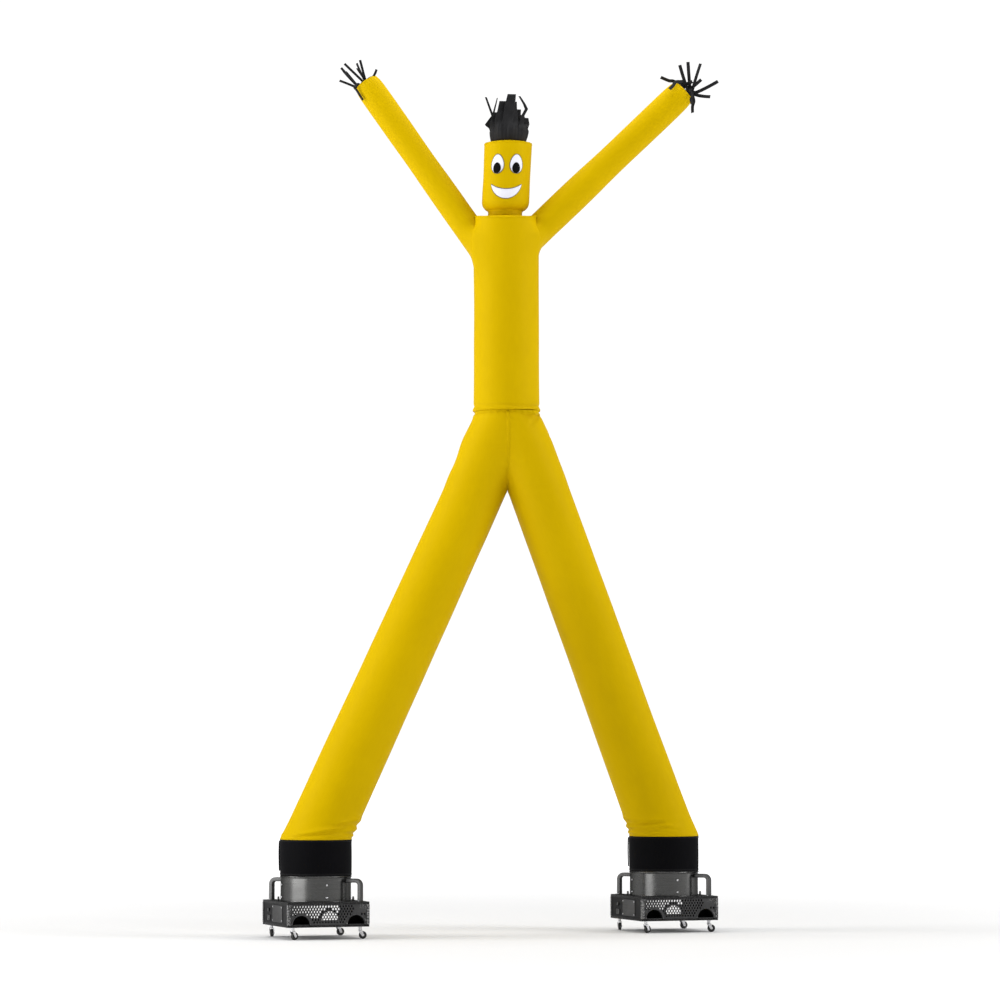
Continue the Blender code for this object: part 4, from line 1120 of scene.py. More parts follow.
@dataclass
class Arm(Tube):
    """An arm, cut at its root to the torso's round."""

    side: str = "left"
    torso_out: float = 0.2185  # the torso's outer side, swollen
    edge: float = 0.2165  # its radius at the shoulder's edge

    def __post_init__(self) -> None:
        """Sets the arm's own axes and finds where each line of its cloth starts."""
        self.root, self.tip = ARM_ENDS[self.side]
        self.along = (self.tip - self.root).normalized()
        self.across = self.along.cross(Vector((0.0, 1.0, 0.0))).normalized()
        self.back = self.across.cross(self.along).normalized()
        self.length = (self.tip - self.root).length
        self.starts = [self._start(TAU * i / self.columns) for i in range(self.columns + 1)]

    def spoke(self, turn: float) -> Vector:
        """The way out of the arm."""
        return self.across * cos(turn) + self.back * sin(turn)

    def local(self, turn: float, share: float, extra: float = 0.0) -> Vector:
        """A point of the arm as across, deep, height."""
        radius = read(ARM_ROWS[self.side], 1, share) + extra
        return self.root + (self.tip - self.root) * share + self.spoke(turn) * radius

    def _inside(self, p: Vector) -> bool:
        """Whether a point is inside the torso or under its top panel."""
        reach = hypot(p.x, p.y)
        if p.z < SHOULDER_Z:
            return reach < self.torso_out
        if reach >= self.edge:
            return p.z < SHOULDER_Z + SHOULDER_LIFT and reach < self.torso_out
        s = min(max((self.edge - reach) / (self.edge - NECK_R), 0.0), 1.0)
        lift = SHOULDER_LIFT * (p.x / reach) ** 2 * (1 - s) ** 2
        return p.z < SHOULDER_Z + lift + YOKE_RISE * sin(s * pi / 2) + 0.0026

    def _start(self, turn: float) -> float:
        """The share of the arm at which this line of its cloth leaves the torso."""
        low, high = -0.19, 0.30
        if not self._inside(self.local(turn, low)):
            tries = (low + 0.01 * k for k in range(30))
            low = next((share for share in tries if self._inside(self.local(turn, share))), low)
        for _ in range(26):
            half = (low + high) / 2
            low, high = (half, high) if self._inside(self.local(turn, half)) else (low, half)
        return high

    def stations(self) -> list[float]:
        """Shares of the way from the root's edge to the tip, close at both ends."""
        root = [0.16 * (i / 26) ** 1.3 for i in range(26)]
        middle = [0.16 + 0.68 * i / 50 for i in range(50)]
        return root + middle + [0.84 + 0.16 * i / 40 for i in range(41)]

    def share(self, turn: float, at: float) -> float:
        """The share of the axis that a station is at."""
        place = turn / TAU * self.columns
        low = min(int(place), self.columns - 1)
        start = self.starts[low] + (self.starts[low + 1] - self.starts[low]) * (place - low)
        return start + (1 - start) * at

    def spot(self, turn: float, at: float) -> Vector:
        """A point of the arm's plain form."""
        return body_point(*self.local(turn, self.share(turn, at)))

    def middle(self, at: float) -> Vector:
        """The arm's axis."""
        return body_point(*(self.root + (self.tip - self.root) * at))

    def skin(self, turn: float, at: float, lift: float = 0.0) -> Vector:
        """A point of the folded cloth."""
        share = self.share(turn, at)
        return body_point(*self.local(turn, share, self.relief(turn, at) + lift))

    def relief(self, turn: float, at: float) -> float:
        """Gathers at both ends, long soft folds near the end panel, and a low swell."""
        share = self.share(turn, at)
        run = turn * 0.095
        root = pucker(run, (share - self.share(turn, 0.0)) * self.length, 0.0016, 0.040)
        left = (1 - share) * self.length
        tip = pucker(run, left, 0.0022, 0.030) + 0.0025 * sin(turn * 9 + 2) * exp(-left / 0.06)
        ends = ease(at / 0.006) * ease((1 - at) / 0.004)
        here = Vector((cos(turn) * 0.1, sin(turn) * 0.1, share * self.length + 7))
        below = max(0.0, -cos(turn - 0.6))
        under = 0.0030 * sin(share * 46 + turn) * exp(-share / 0.07) * below
        p = self.local(turn, share)
        top = web_fade(p) if share < 0.3 else 0.0
        lift = 0.0
        if top:
            torso = (self.torso_out + self.edge) / 2
            reach = web_reach(self.side, p)
            lift = web(p, self.spoke(turn), lambda q: hypot(q.x, q.y) - torso, reach) * top
        calm = 1 - 0.8 * top * ease((0.20 - share) / 0.1)
        return ((root + under) * calm + tip + billow(here, 0.0018, 0.30)) * ends + lift


def head_middle(z: float) -> float:
    """How far across the head's axis is at a height."""
    return NECK_ACROSS + HEAD_LEAN * (z - HEAD_LOW)


def head_point(turn: float, radius: float, z: float) -> Vector:
    """A point round the head, turn being the angle from straight ahead."""
    return body_point(head_middle(z) + radius * sin(turn), -radius * cos(turn), z)


@dataclass
class Head(Tube):
    """The head on its neck, one tube with rounded cheeks."""

    columns: int = 96

    def stations(self) -> list[float]:
        """Heights, close together at the cheeks."""
        low = [HEAD_LOW + (CHEEK_LOW - HEAD_LOW) * i / 8 for i in range(8)]
        cheeks = [CHEEK_LOW + (CHEEK_HIGH - CHEEK_LOW) * i / 24 for i in range(24)]
        return low + cheeks + [CHEEK_HIGH + (HEAD_HIGH - CHEEK_HIGH) * i / 44 for i in range(45)]

    def spot(self, turn: float, at: float) -> Vector:
        """A point of the head's plain form."""
        return head_point(turn, read(HEAD_ROWS, 1, at), at)

    def middle(self, at: float) -> Vector:
        """The head's axis."""
        return body_point(head_middle(at), 0.0, at)

    def relief(self, turn: float, at: float) -> float:
        """Gathers at the neck, the cheeks and the crown, clear of the face."""
        turned = remainder(turn, TAU)
        run = turned * HEAD_R
        face = ease((abs(turned) - 0.72) / 0.3)
        gathers = pucker(run, at - HEAD_LOW, 0.0008) + pucker(run, HEAD_HIGH - at, 0.0008) * 0.8
        cheeks = pucker(run, at - 4.835, 0.0020, 0.033)
        swell = billow(Vector((cos(turn) * 0.15, sin(turn) * 0.15, at)), 0.0016, 0.2)
        ends = ease((at - HEAD_LOW) / 0.006) * ease((HEAD_HIGH - at) / 0.006)
        return (gathers + cheeks * (0.35 + 0.65 * face) + swell * face) * ends


@dataclass
class Crown(Tube):
    """The head's flat top panel, with its vent."""

    offset: float = 1.0

    def stations(self) -> list[float]:
        """Shares of the way in to the vent."""
        return [i / 14 for i in range(15)]

    def spot(self, turn: float, at: float) -> Vector:
        """A point of the panel's under side."""
        radius, rise = read(CROWN_ROWS, 1, at), read(CROWN_ROWS, 2, at)
        return head_point(turn, radius, HEAD_HIGH + GAP + rise)

    def skin(self, turn: float, at: float, lift: float = 0.0) -> Vector:
        """A point of the panel, its gathers running up and down."""
        edge = ease(at / 0.15) * ease((1 - at) / 0.15)
        folds = pucker(turn * 0.13, at * 0.07, 0.0006)
        return self.spot(turn, at) + Vector((0.0, 0.0, folds * edge + lift))


Oval = tuple[str, float, float, float, float]  # name, turn, height, half width, half height


@dataclass
class Face:
    """Eyes and a wide mouth, cut from cloth and sewn on the head inside a satin cord."""

    head: Head
    eyes: tuple[Oval, ...] = (
        ("right", -24.3, 5.102, 0.0450, 0.0640),
        ("left", 23.1, 5.102, 0.0450, 0.0640),
    )
    pupils: tuple[Oval, ...] = (
        ("right", -24.7, 5.075, 0.0272, 0.0358),
        ("left", 22.4, 5.075, 0.0272, 0.0358),
    )
    mouth_turn: float = radians(38.5)
    mouth_z: float = 4.967
    top_sag: float = 0.034
    low_sag: float = 0.096
    cord: float = 0.0058

    def egg(self, spot: Oval, count: int = 64) -> list[Pair]:
        """The outline of an eye, wider below its middle.

        Args:
            spot: Its row.
            count: Points.

        Returns:
            Turn and height pairs.
        """
        points = []
        for i in range(count):
            angle = TAU * i / count
            wide = spot[3] * (1 - 0.16 * sin(angle))
            turn = radians(spot[1]) + wide * cos(angle) / HEAD_R
            points.append((turn, spot[2] + spot[4] * sin(angle)))
        return points

    def patch(
        self, name: str, outline: Sequence[Pair], lift: float, look: Look, node: str
    ) -> Piece:
        """A padded shape inside an outline.

        Args:
            name: The piece's name.
            outline: Turn and height pairs, anticlockwise.
            lift: How far it lies off the head.
            look: Its finish.
            node: The CAD node that it replaces.

        Returns:
            The piece.
        """
        count = len(outline)
        mid = (sum(p[0] for p in outline) / count, sum(p[1] for p in outline) / count)
        rows, marks = [], []
        for share in (1.0, 0.96, 0.88, 0.75, 0.6, 0.45, 0.3, 0.15, 0.0):
            ring = [(mid[0] + (t - mid[0]) * share, mid[1] + (z - mid[1]) * share) for t, z in outline]
            ring.append(ring[0])
            crown = 0.0010 * (1 - share ** 4)
            rows.append([self.head.skin(t, z, lift + crown) for t, z in ring])
            marks.append([(t * HEAD_R, z) for t, z in ring])
        obj = sheet_mesh(name, rows, marks, 0.0010, 1.0)
        self.head.extras.append(obj)
        return dress(obj, look, BODY, (node,))

    def edge(self, name: str, outline: Sequence[Pair], wide: float, lift: float) -> None:
        """A cord of satin stitch round an outline."""
        line = [self.head.skin(t, z, lift) for t, z in outline]
        out = [(self.head.skin(t, z) - self.head.middle(z)).normalized() for t, z in outline]
        side = [out[i].cross(ahead_of(line, i, True).normalized()).normalized() for i in range(len(line))]
        self.head.extras.append(tape(name, line, side, out, wide, 0.0026, Look.EDGE, True))

    def mouth_line(self, top: bool, s: float) -> Pair:
        """A point of the mouth's upper or lower line, s running from -1 to 1."""
        bow = max(0.0, 1 - s * s)
        if top:
            return self.mouth_turn * s, self.mouth_z - self.top_sag * bow
        return self.mouth_turn * s, self.mouth_z - 0.003 - self.low_sag * bow ** 0.62

    def mouth(self) -> None:
        """The crescent, its teeth left as one white band, and its cord."""
        columns, lines = 56, 9
        places = [sin(pi * (i / columns - 0.5)) for i in range(columns + 1)]
        low, top = ([self.mouth_line(upper, s) for s in places] for upper in (False, True))
        rows, marks = [], []
        for k in range(lines):
            share = k / (lines - 1)
            spots = [(t, z + (high - z) * share) for (t, z), (_, high) in zip(low, top)]
            rows.append([self.head.skin(t, z, 0.0006 + 0.0014 * sin(pi * share)) for t, z in spots])
            marks.append([(t * HEAD_R, z) for t, z in spots])
        obj = sheet_mesh("mouth_cloth", rows, marks, 0.0010, 1.0)
        self.head.extras.append(dress(obj, Look.WHITE, BODY, ("mouth",)))
        self.edge("mouth_edge", low + top[::-1], self.cord * 0.9, 0.0004)

    def build(self) -> None:
        """Makes every shape of the face."""
        for eye in self.eyes:
            outline = self.egg(eye)
            self.patch(f"eye_{eye[0]}_cloth", outline, 0.0010, Look.WHITE, f"eye_{eye[0]}")
            self.edge(f"eye_{eye[0]}_edge", outline, self.cord, 0.0006)
        for pupil in self.pupils:
            self.patch(f"pupil_{pupil[0]}_cloth", self.egg(pupil), 0.0034, Look.PUPIL, f"pupil_{pupil[0]}")
        self.mouth()


SEEN_SIN, SEEN_COS = 0.352, 0.936  # of the turn from the figure's front to straight ahead
Course = tuple[tuple[float, float, float, float], ...]  # height, across from straight ahead, deep, width


@dataclass
class Hair:
    """A gathered black band round the vent, slit above into ragged flat strips."""

    radius: float = 0.1160
    band: float = 0.075
    columns: int = 36
    fine: int = 5  # columns of mesh to one of the band's
    strips: tuple[tuple[int, int, Course], ...] = (
        # first column, columns wide, course of its middle
        (31, 3, (
            (0.14, -0.022, -0.100, 0.076), (0.20, -0.012, -0.092, 0.072), (0.266, -0.010, -0.085, 0.060),
        )),
        (34, 3, (
            (0.14, 0.030, -0.104, 0.076), (0.22, 0.034, -0.098, 0.076), (0.312, 0.041, -0.090, 0.060),
        )),
        (1, 2, (
            (0.12, 0.074, -0.098, 0.044), (0.19, 0.064, -0.090, 0.036), (0.262, 0.060, -0.086, 0.030),
        )),
        (3, 2, (
            (0.113, 0.106, -0.072, 0.034), (0.160, 0.104, -0.070, 0.024), (0.215, 0.128, -0.066, 0.024),
            (0.250, 0.112, -0.064, 0.020), (0.303, 0.080, -0.064, 0.015),
        )),
        (5, 3, ((0.12, 0.112, -0.010, 0.046), (0.165, 0.112, -0.010, 0.026))),
        (8, 3, ((0.12, 0.090, 0.050, 0.046), (0.17, 0.076, 0.046, 0.030))),
        (11, 4, ((0.13, 0.056, 0.088, 0.060), (0.20, 0.044, 0.080, 0.046))),
        (15, 3, ((0.13, 0.010, 0.106, 0.054), (0.24, 0.020, 0.094, 0.040))),
        (18, 3, ((0.12, -0.034, 0.100, 0.050), (0.19, -0.022, 0.094, 0.036))),
        (21, 3, ((0.11, -0.066, 0.078, 0.044), (0.15, -0.052, 0.066, 0.030))),
        (24, 2, ((0.10, -0.086, 0.030, 0.036), (0.13, -0.076, 0.026, 0.026))),
        (26, 2, (
            (0.100, -0.112, -0.020, 0.040), (0.116, -0.124, -0.030, 0.040), (0.146, -0.098, -0.040, 0.042),
            (0.182, -0.078, -0.050, 0.024),
        )),
        (28, 1, (
            (0.120, -0.092, -0.062, 0.026), (0.160, -0.078, -0.066, 0.018), (0.295, -0.128, -0.070, 0.014),
        )),
        (29, 1, (
            (0.120, -0.080, -0.074, 0.028), (0.165, -0.076, -0.078, 0.016), (0.288, -0.052, -0.080, 0.007),
        )),
        (30, 1, (
            (0.12, -0.070, -0.084, 0.034), (0.16, -0.062, -0.086, 0.030), (0.190, -0.056, -0.088, 0.020),
        )),
    )

    def spot(self, column: float, up: float) -> Vector:
        """A point of the band, column round it and up from the crown."""
        angle = TAU * column / self.columns
        gather = 0.006 * sin(angle * 9) * min(1.0, up / self.band)
        gather += 0.0014 * sin(angle * 31 + 1.3) * min(1.0, up / 0.02)
        bulge = 0.012 * sin(min(1.0, up / (2 * self.band)) * pi)
        radius = self.radius + gather + bulge
        across = head_middle(HEAD_HIGH) + HEAD_LEAN * up + radius * sin(angle)
        return body_point(across, -radius * cos(angle), self.height(up))

    def height(self, up: float) -> float:
        """The height of a place on the band."""
        return HEAD_HIGH + 0.0080 + 0.0020 + 3 * GAP + up

    def on_strip(self, course: Course, share: float, side: float) -> Vector:
        """A point of a strip: share of the way up it, and side from -1 to 1 across it."""
        place = share * (len(course) - 1)
        k = min(int(place), len(course) - 2)
        up, seen, deep, wide = (a + (b - a) * (place - k) for a, b in zip(course[k], course[k + 1]))
        across = (seen + SEEN_SIN * deep) / SEEN_COS
        ripple = 0.0022 * sin(share * 7 + deep * 90) * side + 0.0015 * sin(up * 70 + seen * 60)
        middle = head_middle(HEAD_HIGH) + HEAD_LEAN * up
        reach = side * wide / 2
        return body_point(middle + across + reach * SEEN_COS, deep + reach * 0.20 + ripple, self.height(up))

    def build(self) -> Piece:
        """Makes the band and its strips in one cloth."""
        bm = bmesh.new()
        layer = bm.loops.layers.uv.new("metres")

        def put(point: Vector, column: float, up: float) -> Marked:
            """Adds a point with its metres."""
            return bm.verts.new(point), (column * TAU * self.radius / self.columns, up)

        count = self.columns * self.fine
        rows = []
        for k in range(11):
            up = self.band * k / 10
            rows.append([put(self.spot(c / self.fine, up), c / self.fine, up) for c in range(count)])
        for low, high in zip(rows, rows[1:]):
            fill(bm, layer, low, high, wrap=True)
        for first, wide, course in self.strips:
            span = [first + c / self.fine for c in range(wide * self.fine + 1)]
            below = [rows[-1][round(c * self.fine) % count] for c in span]
            base = [vert.co.copy() for vert, _ in below]
            turned = -1 if (base[-1] - base[0]).x < 0 else 1
            for k in range(1, 19):
                share = k / 18
                blend = ease(min(1.0, share / 0.30))
                above = []
                for i, c in enumerate(span):
                    side = turned * (2 * i / (len(span) - 1) - 1)
                    ahead = self.on_strip(course, max(0.0, (share - 0.22) / 0.78), side)
                    lifted = base[i] + Vector((0.0, 0.0, 0.10 * share))
                    above.append(put(lifted.lerp(ahead, blend), c, self.band + share * course[-1][0]))
                fill(bm, layer, below, above)
                below = above
        obj = publish(bm, "hair_cloth")
        fix(obj, "SOLIDIFY", thickness=0.0011, offset=-1.0)
        dress(obj, Look.STREAMER, BODY, ("hair",))
        return obj


@dataclass
class Streamers:
    """An arm's black end panel with the strips that are sewn on it."""

    side: str
    arm: Arm
    strips: tuple[tuple[float, float, float, float, float, float], ...]  # turn, out, bulge, then its free end
    wide: float = 0.0165
    stem: float = 0.012  # how far the strips run straight out
    thick: float = 0.0016
    sides: int = 48  # of the round end panel
    clear: float = 0.112  # from the arm's axis, for a strip that hangs back beside it

    def path(self, strip: Sequence[float]) -> list[Vector]:
        """Points from inside the end panel to a strip's free end, kept clear of the arm."""
        arm = self.arm
        spoke = arm.spoke(radians(strip[0]))
        start = arm.tip + spoke * strip[1] + arm.along * 0.002
        end = Vector(strip[3:6])
        knee = start + arm.along * (0.10 * (end - start).length) + spoke * strip[2]
        points = [start, start + arm.along * self.stem]
        for t in (0.3, 0.55, 0.8, 1.0):
            p = points[1] * (1 - t) ** 2 + knee * (2 * t * (1 - t)) + end * t * t
            behind = (p - arm.tip).dot(arm.along)
            if behind < 0.006:
                away = (p - arm.tip) - arm.along * behind
                if away.length < self.clear:
                    p = arm.tip + arm.along * behind + away.normalized() * self.clear
            points.append(p)
        return points

    def smooth(self, points: Sequence[Vector], steps: int = 6) -> list[Vector]:
        """A rounder line through the same points."""
        line = []
        for i in range(len(points) - 1):
            a, b = points[max(i - 1, 0)], points[i]
            c, d = points[i + 1], points[min(i + 2, len(points) - 1)]
            for k in range(steps):
                t = k / steps
                bend, twist = 2 * a - 5 * b + 4 * c - d, 3 * b - a - 3 * c + d
                line.append(0.5 * (2 * b + (c - a) * t + bend * t * t + twist * t ** 3))
        return [*line, points[-1]]

    def build(self) -> Piece:
        """Makes the panel and its strips in one piece, each strip a flat ribbon with a soft curl."""
        bm = bmesh.new()
        layer = bm.loops.layers.uv.new("metres")
        arm = self.arm
        rings = []
        for lift, radius in ((0.0004, 0.0765), (0.0040, 0.0745), (0.0046, 0.045), (0.0040, 0.0)):
            ring = []
            for i in range(self.sides):
                angle = TAU * i / self.sides
                gather = 0.0012 * sin(angle * 8) * (radius > 0)
                point = arm.tip + arm.along * (lift + gather) + arm.spoke(angle) * radius
                ring.append(bm.verts.new(body_point(*point)))
            rings.append(ring)
        bottom = bm.verts.new(body_point(*(arm.tip + arm.along * 0.0004)))
        for i in range(self.sides):
            j = (i + 1) % self.sides
            bm.faces.new((rings[0][i], rings[0][j], bottom))
            for low, high in zip(rings, rings[1:]):
                bm.faces.new((low[i], low[j], high[j], high[i]))
        for number, strip in enumerate(self.strips):
            line = self.smooth(self.path(strip))
            last = len(line) - 1
            grid, run = [], 0.0
            for k, p in enumerate(line):
                ahead = (line[min(k + 1, last)] - line[max(k - 1, 0)]).normalized()
                run += (p - line[k - 1]).length if k else 0.0
                yaw = 0.35 * sin(number * 2.1 + 2.0 * k / last) * k / last
                flat = ahead.cross(Vector((0.35, 1.0, 0.1))).normalized()
                face_way = flat.cross(ahead).normalized()
                across = flat * cos(yaw) + face_way * sin(yaw)
                up = across.cross(ahead).normalized()
                ripple = 0.0012 * sin(k * 0.35 + number) * min(1.0, 3 * k / last)
                ring = []
                for s, side in ((-1, 1), (0, 1), (1, 1), (1, -1), (0, -1), (-1, -1)):
                    curl = 0.0022 * (s * s - 0.5) + ripple
                    q = p + across * (s * self.wide / 2) + up * (curl + side * self.thick / 2)
                    ring.append((bm.verts.new(body_point(*q)), (s * self.wide / 2, run)))
                grid.append(ring)
            for low, high in zip(grid, grid[1:]):
                fill(bm, layer, low, high, wrap=True)
            bm.faces.new([vert for vert, _ in grid[0][::-1]])
            bm.faces.new([vert for vert, _ in grid[-1]])
        bmesh.ops.remove_doubles(bm, verts=bm.verts[:], dist=1e-6)
        bmesh.ops.recalc_face_normals(bm, faces=bm.faces[:])
        obj = publish(bm, f"streamers_{self.side}_cloth")
        harden(obj, 50.0)
        self.arm.extras.append(obj)
        return dress(obj, Look.STREAMER, BODY, (f"streamers_{self.side}",))


STRIP_SIZES = {"left": (0.0165, 0.012), "right": (0.0225, 0.034)}  # width, and straight stem
STRIPS: dict[str, tuple[tuple[float, ...], ...]] = {
    "left": (
        (8, 0.066, 0.004, -1.122, 0.10, 5.702), (18, 0.060, 0.000, -1.115, 0.19, 5.804),
        (80, 0.034, 0.004, -1.090, 0.13, 5.822), (92, 0.040, -0.004, -1.012, 0.21, 5.839),
        (100, 0.030, 0.004, -0.985, 0.12, 5.845), (165, 0.060, 0.012, -0.875, 0.15, 5.787),
        (340, 0.060, 0.006, -1.079, 0.06, 5.756), (318, 0.068, 0.045, -0.962, 0.066, 5.563),
        (265, 0.030, 0.006, -1.000, 0.02, 5.772), (28, 0.062, 0.006, -1.100, 0.15, 5.776),
    ),
    "right": (
        (60, 0.046, 0.020, 1.032, -0.03, 5.702), (100, 0.034, 0.030, 1.162, 0.02, 5.793),
        (135, 0.032, 0.020, 1.213, -0.06, 5.800), (165, 0.040, 0.005, 1.298, -0.02, 5.796),
        (190, 0.020, 0.000, 1.301, -0.07, 5.679), (185, 0.046, 0.020, 1.414, -0.05, 5.671),
        (200, 0.050, 0.020, 1.360, -0.09, 5.560), (215, 0.054, 0.020, 1.241, -0.10, 5.450),
        (240, 0.050, 0.020, 1.236, -0.135, 5.505), (325, 0.054, 0.040, 1.085, -0.17, 5.598),
        (20, 0.030, 0.010, 1.240, -0.10, 5.660),
    ),
}


# ---------------------------------------------------------------- hard pieces, shaped in edit mode
FaceRule = Callable[[bpy.types.MeshPolygon], bool]
EdgeRule = Callable[[Vector, Vector], bool]
ALONG_Y = (pi / 2, 0.0, 0.0)  # the turn that lays a bar's axis along Y


def facing(axis: int, sign: int) -> FaceRule:
    """A rule for the faces that look along an axis, or against it where sign is -1."""
    return lambda face: face.normal[axis] * sign > 0.5


def upright(a: Vector, b: Vector) -> bool:
    """A rule for the edges that run straight up."""
    return abs(a.x - b.x) < 1e-5 and abs(a.y - b.y) < 1e-5


def level(z: float) -> EdgeRule:
    """A rule for the edges that lie at a height."""
    return lambda a, b: abs(a.z - z) < 1e-4 and abs(b.z - z) < 1e-4


class Shaper:
    """A primitive that is shaped in edit mode, then finished."""

    def __init__(self, name: str) -> None:
        """Names the newest object and makes it the only one selected."""
        self.obj = bpy.context.view_layer.objects.active
        self.obj.name = name
        self.obj.data.name = name

    @classmethod
    def box(cls, name: str, low: Sequence[float], high: Sequence[float]) -> Shaper:
        """A block between two corners."""
        deselect()
        middle = [(a + b) / 2 for a, b in zip(low, high)]
        bpy.ops.mesh.primitive_cube_add(size=1.0, location=middle, scale=[b - a for a, b in zip(low, high)])
        settle()
        return cls(name)

    @classmethod
    def drum(
        cls, name: str, radius: float, low: float, high: float, sides: int,
        at: Sequence[float] = (0.0, 0.0, 0.0), turn: Sequence[float] = (0.0, 0.0, 0.0), capped: bool = True,
    ) -> Shaper:
        """A round bar from low to high along its own axis, which is Z before it is turned."""
        deselect()
        bpy.ops.mesh.primitive_cylinder_add(
            vertices=sides, radius=radius, depth=high - low, end_fill_type="NGON" if capped else "NOTHING",
            location=(0.0, 0.0, (low + high) / 2),
        )
        settle()
        obj = bpy.context.view_layer.objects.active
        obj.rotation_euler = turn
        obj.location = at
        settle()
        return cls(name)

    def _select(self, kind: str, rule: Callable[..., bool]) -> Shaper:
        """Selects the faces or the edges that pass a rule and enters edit mode on them."""
        if bpy.context.mode == "EDIT_MESH":
            bpy.ops.object.mode_set(mode="OBJECT")
        mesh = self.obj.data
        for group in (mesh.vertices, mesh.edges, mesh.polygons):
            group.foreach_set("select", [False] * len(group))
        for item in mesh.polygons if kind == "FACE" else mesh.edges:
            item.select = bool(rule(item))
        bpy.ops.object.mode_set(mode="EDIT")
        bpy.ops.mesh.select_mode(type=kind)
        return self

    def pick(self, rule: FaceRule) -> Shaper:
        """Selects the faces that pass a rule."""
        return self._select("FACE", rule)

    def pick_all(self) -> Shaper:
        """Selects every face."""
        return self._select("FACE", lambda face: True)

    def pick_edges(self, rule: EdgeRule) -> Shaper:
        """Selects the edges whose two ends pass a rule."""
        return self._select("EDGE", lambda edge: rule(*(self.obj.data.vertices[k].co for k in edge.vertices)))

    def weld(self) -> Shaper:
        """Merges doubled points and turns the faces outwards."""
        self.pick_all()
        bpy.ops.mesh.remove_doubles(threshold=1e-5)
        bpy.ops.mesh.normals_make_consistent(inside=False)
        return self

    def slice(self, z: float, fill: bool = False, above: bool = False) -> Shaper:
        """Cuts every face at a height; fill closes the cut, above keeps only what is over it."""
        self.pick_all()
        plane = {"plane_co": (0.0, 0.0, z), "plane_no": (0.0, 0.0, 1.0)}
        bpy.ops.mesh.bisect(**plane, use_fill=fill, clear_inner=above)
        return self

    def inset(self, by: float, depth: float = 0.0) -> Shaper:
        """Insets the picked faces."""
        bpy.ops.mesh.inset(thickness=by, depth=depth, use_even_offset=True)
        return self

    def push(self, way: Sequence[float]) -> Shaper:
        """Extrudes the picked faces along a way."""
        bpy.ops.mesh.extrude_region_move(TRANSFORM_OT_translate={"value": tuple(way)})
        return self

    def scale(self, by: Sequence[float], about: Sequence[float]) -> Shaper:
        """Resizes what is picked about a point."""
        bpy.ops.transform.resize(value=tuple(by), center_override=tuple(about))
        return self

    def delete(self) -> Shaper:
        """Deletes the picked faces."""
        bpy.ops.mesh.delete(type="FACE")
        return self

    def round(self, by: float, steps: int = 2) -> Shaper:
        """Bevels what is picked."""
        bpy.ops.mesh.bevel(offset=by, segments=steps, affect="EDGES")
        return self

    def out(self) -> Piece:
        """Back to object mode."""
        if bpy.context.mode == "EDIT_MESH":
            bpy.ops.object.mode_set(mode="OBJECT")
        only(self.obj)
        return self.obj

    def shell(self, thick: float, offset: float = -1.0) -> Shaper:
        """Gives a skin its wall, with a modifier that is applied."""
        self.out()
        fix(self.obj, "SOLIDIFY", thickness=thick, offset=offset, use_even_offset=True)
        return self

    def soften(self, by: float, angle: float = 30.0, steps: int = 2) -> Shaper:
        """Rounds every edge sharper than an angle, with a modifier that is applied."""
        self.out()
        fix(
            self.obj, "BEVEL", width=by, segments=steps, limit_method="ANGLE",
            angle_limit=radians(angle), use_clamp_overlap=True, harden_normals=False,
        )
        return self

    def shaded(self, angle: float = 35.0) -> Piece:
        """Shades the piece as a pattern that is copied."""
        harden(self.out(), angle)
        return self.obj

    def done(self, look: Look, nodes: Sequence[str] = (), angle: float = 35.0) -> Piece:
        """Shades and dresses a piece of the fixed body."""
        return dress(self.shaded(angle), look, BODY, nodes)


def place_copy(
    source: Piece, name: str, matrix: Matrix, look: Look, body: str = BODY, nodes: Sequence[str] = ()
) -> Piece:
    """A copy with a mesh of its own, its place baked in.

    Args:
        source: The piece that was modelled.
        name: The copy's name.
        matrix: Where it goes.
        look: Its finish.
        body: The body that it rides on.
        nodes: The CAD nodes that it replaces.

    Returns:
        The copy.
    """
    mesh = source.data.copy()
    mesh.name = name
    mesh.transform(matrix)
    obj = bpy.data.objects.new(name, mesh)
    bpy.context.scene.collection.objects.link(obj)
    return dress(obj, look, body, nodes)


def join(pieces: Sequence[Piece], name: str) -> Piece:
    """Joins pieces into the first of them."""
    only(pieces[0])
    for piece in pieces:
        piece.select_set(True)
    bpy.ops.object.join()
    pieces[0].name = name
    pieces[0].data.name = name
    return pieces[0]


def scrap(*pieces: Piece) -> None:
    """Deletes patterns and cutters."""
    for piece in pieces:
        bpy.data.objects.remove(piece, do_unlink=True)


def cut(obj: Piece, cutter: Piece) -> None:
    """Takes the cutter's form out of a piece, and deletes the cutter."""
    fix(obj, "BOOLEAN", object=cutter, operation="DIFFERENCE", solver="EXACT", use_self=False)
    scrap(cutter)


CORNERS = ((-1, -1), (-1, 1), (1, -1), (1, 1))
BEAD = (  # height from the bead's middle, and how far the sheet stands out there
    (0.0, 0.0050), (0.0022, 0.0044), (-0.0022, 0.0044), (0.0045, 0.0024), (-0.0045, 0.0024),
)
BEAD_ROWS = (-0.0100, -0.0065, -0.0045, -0.0022, 0.0, 0.0022, 0.0045, 0.0065, 0.0100)
KINGPIN = 0.228  # from a base's axis to its casters', both ways


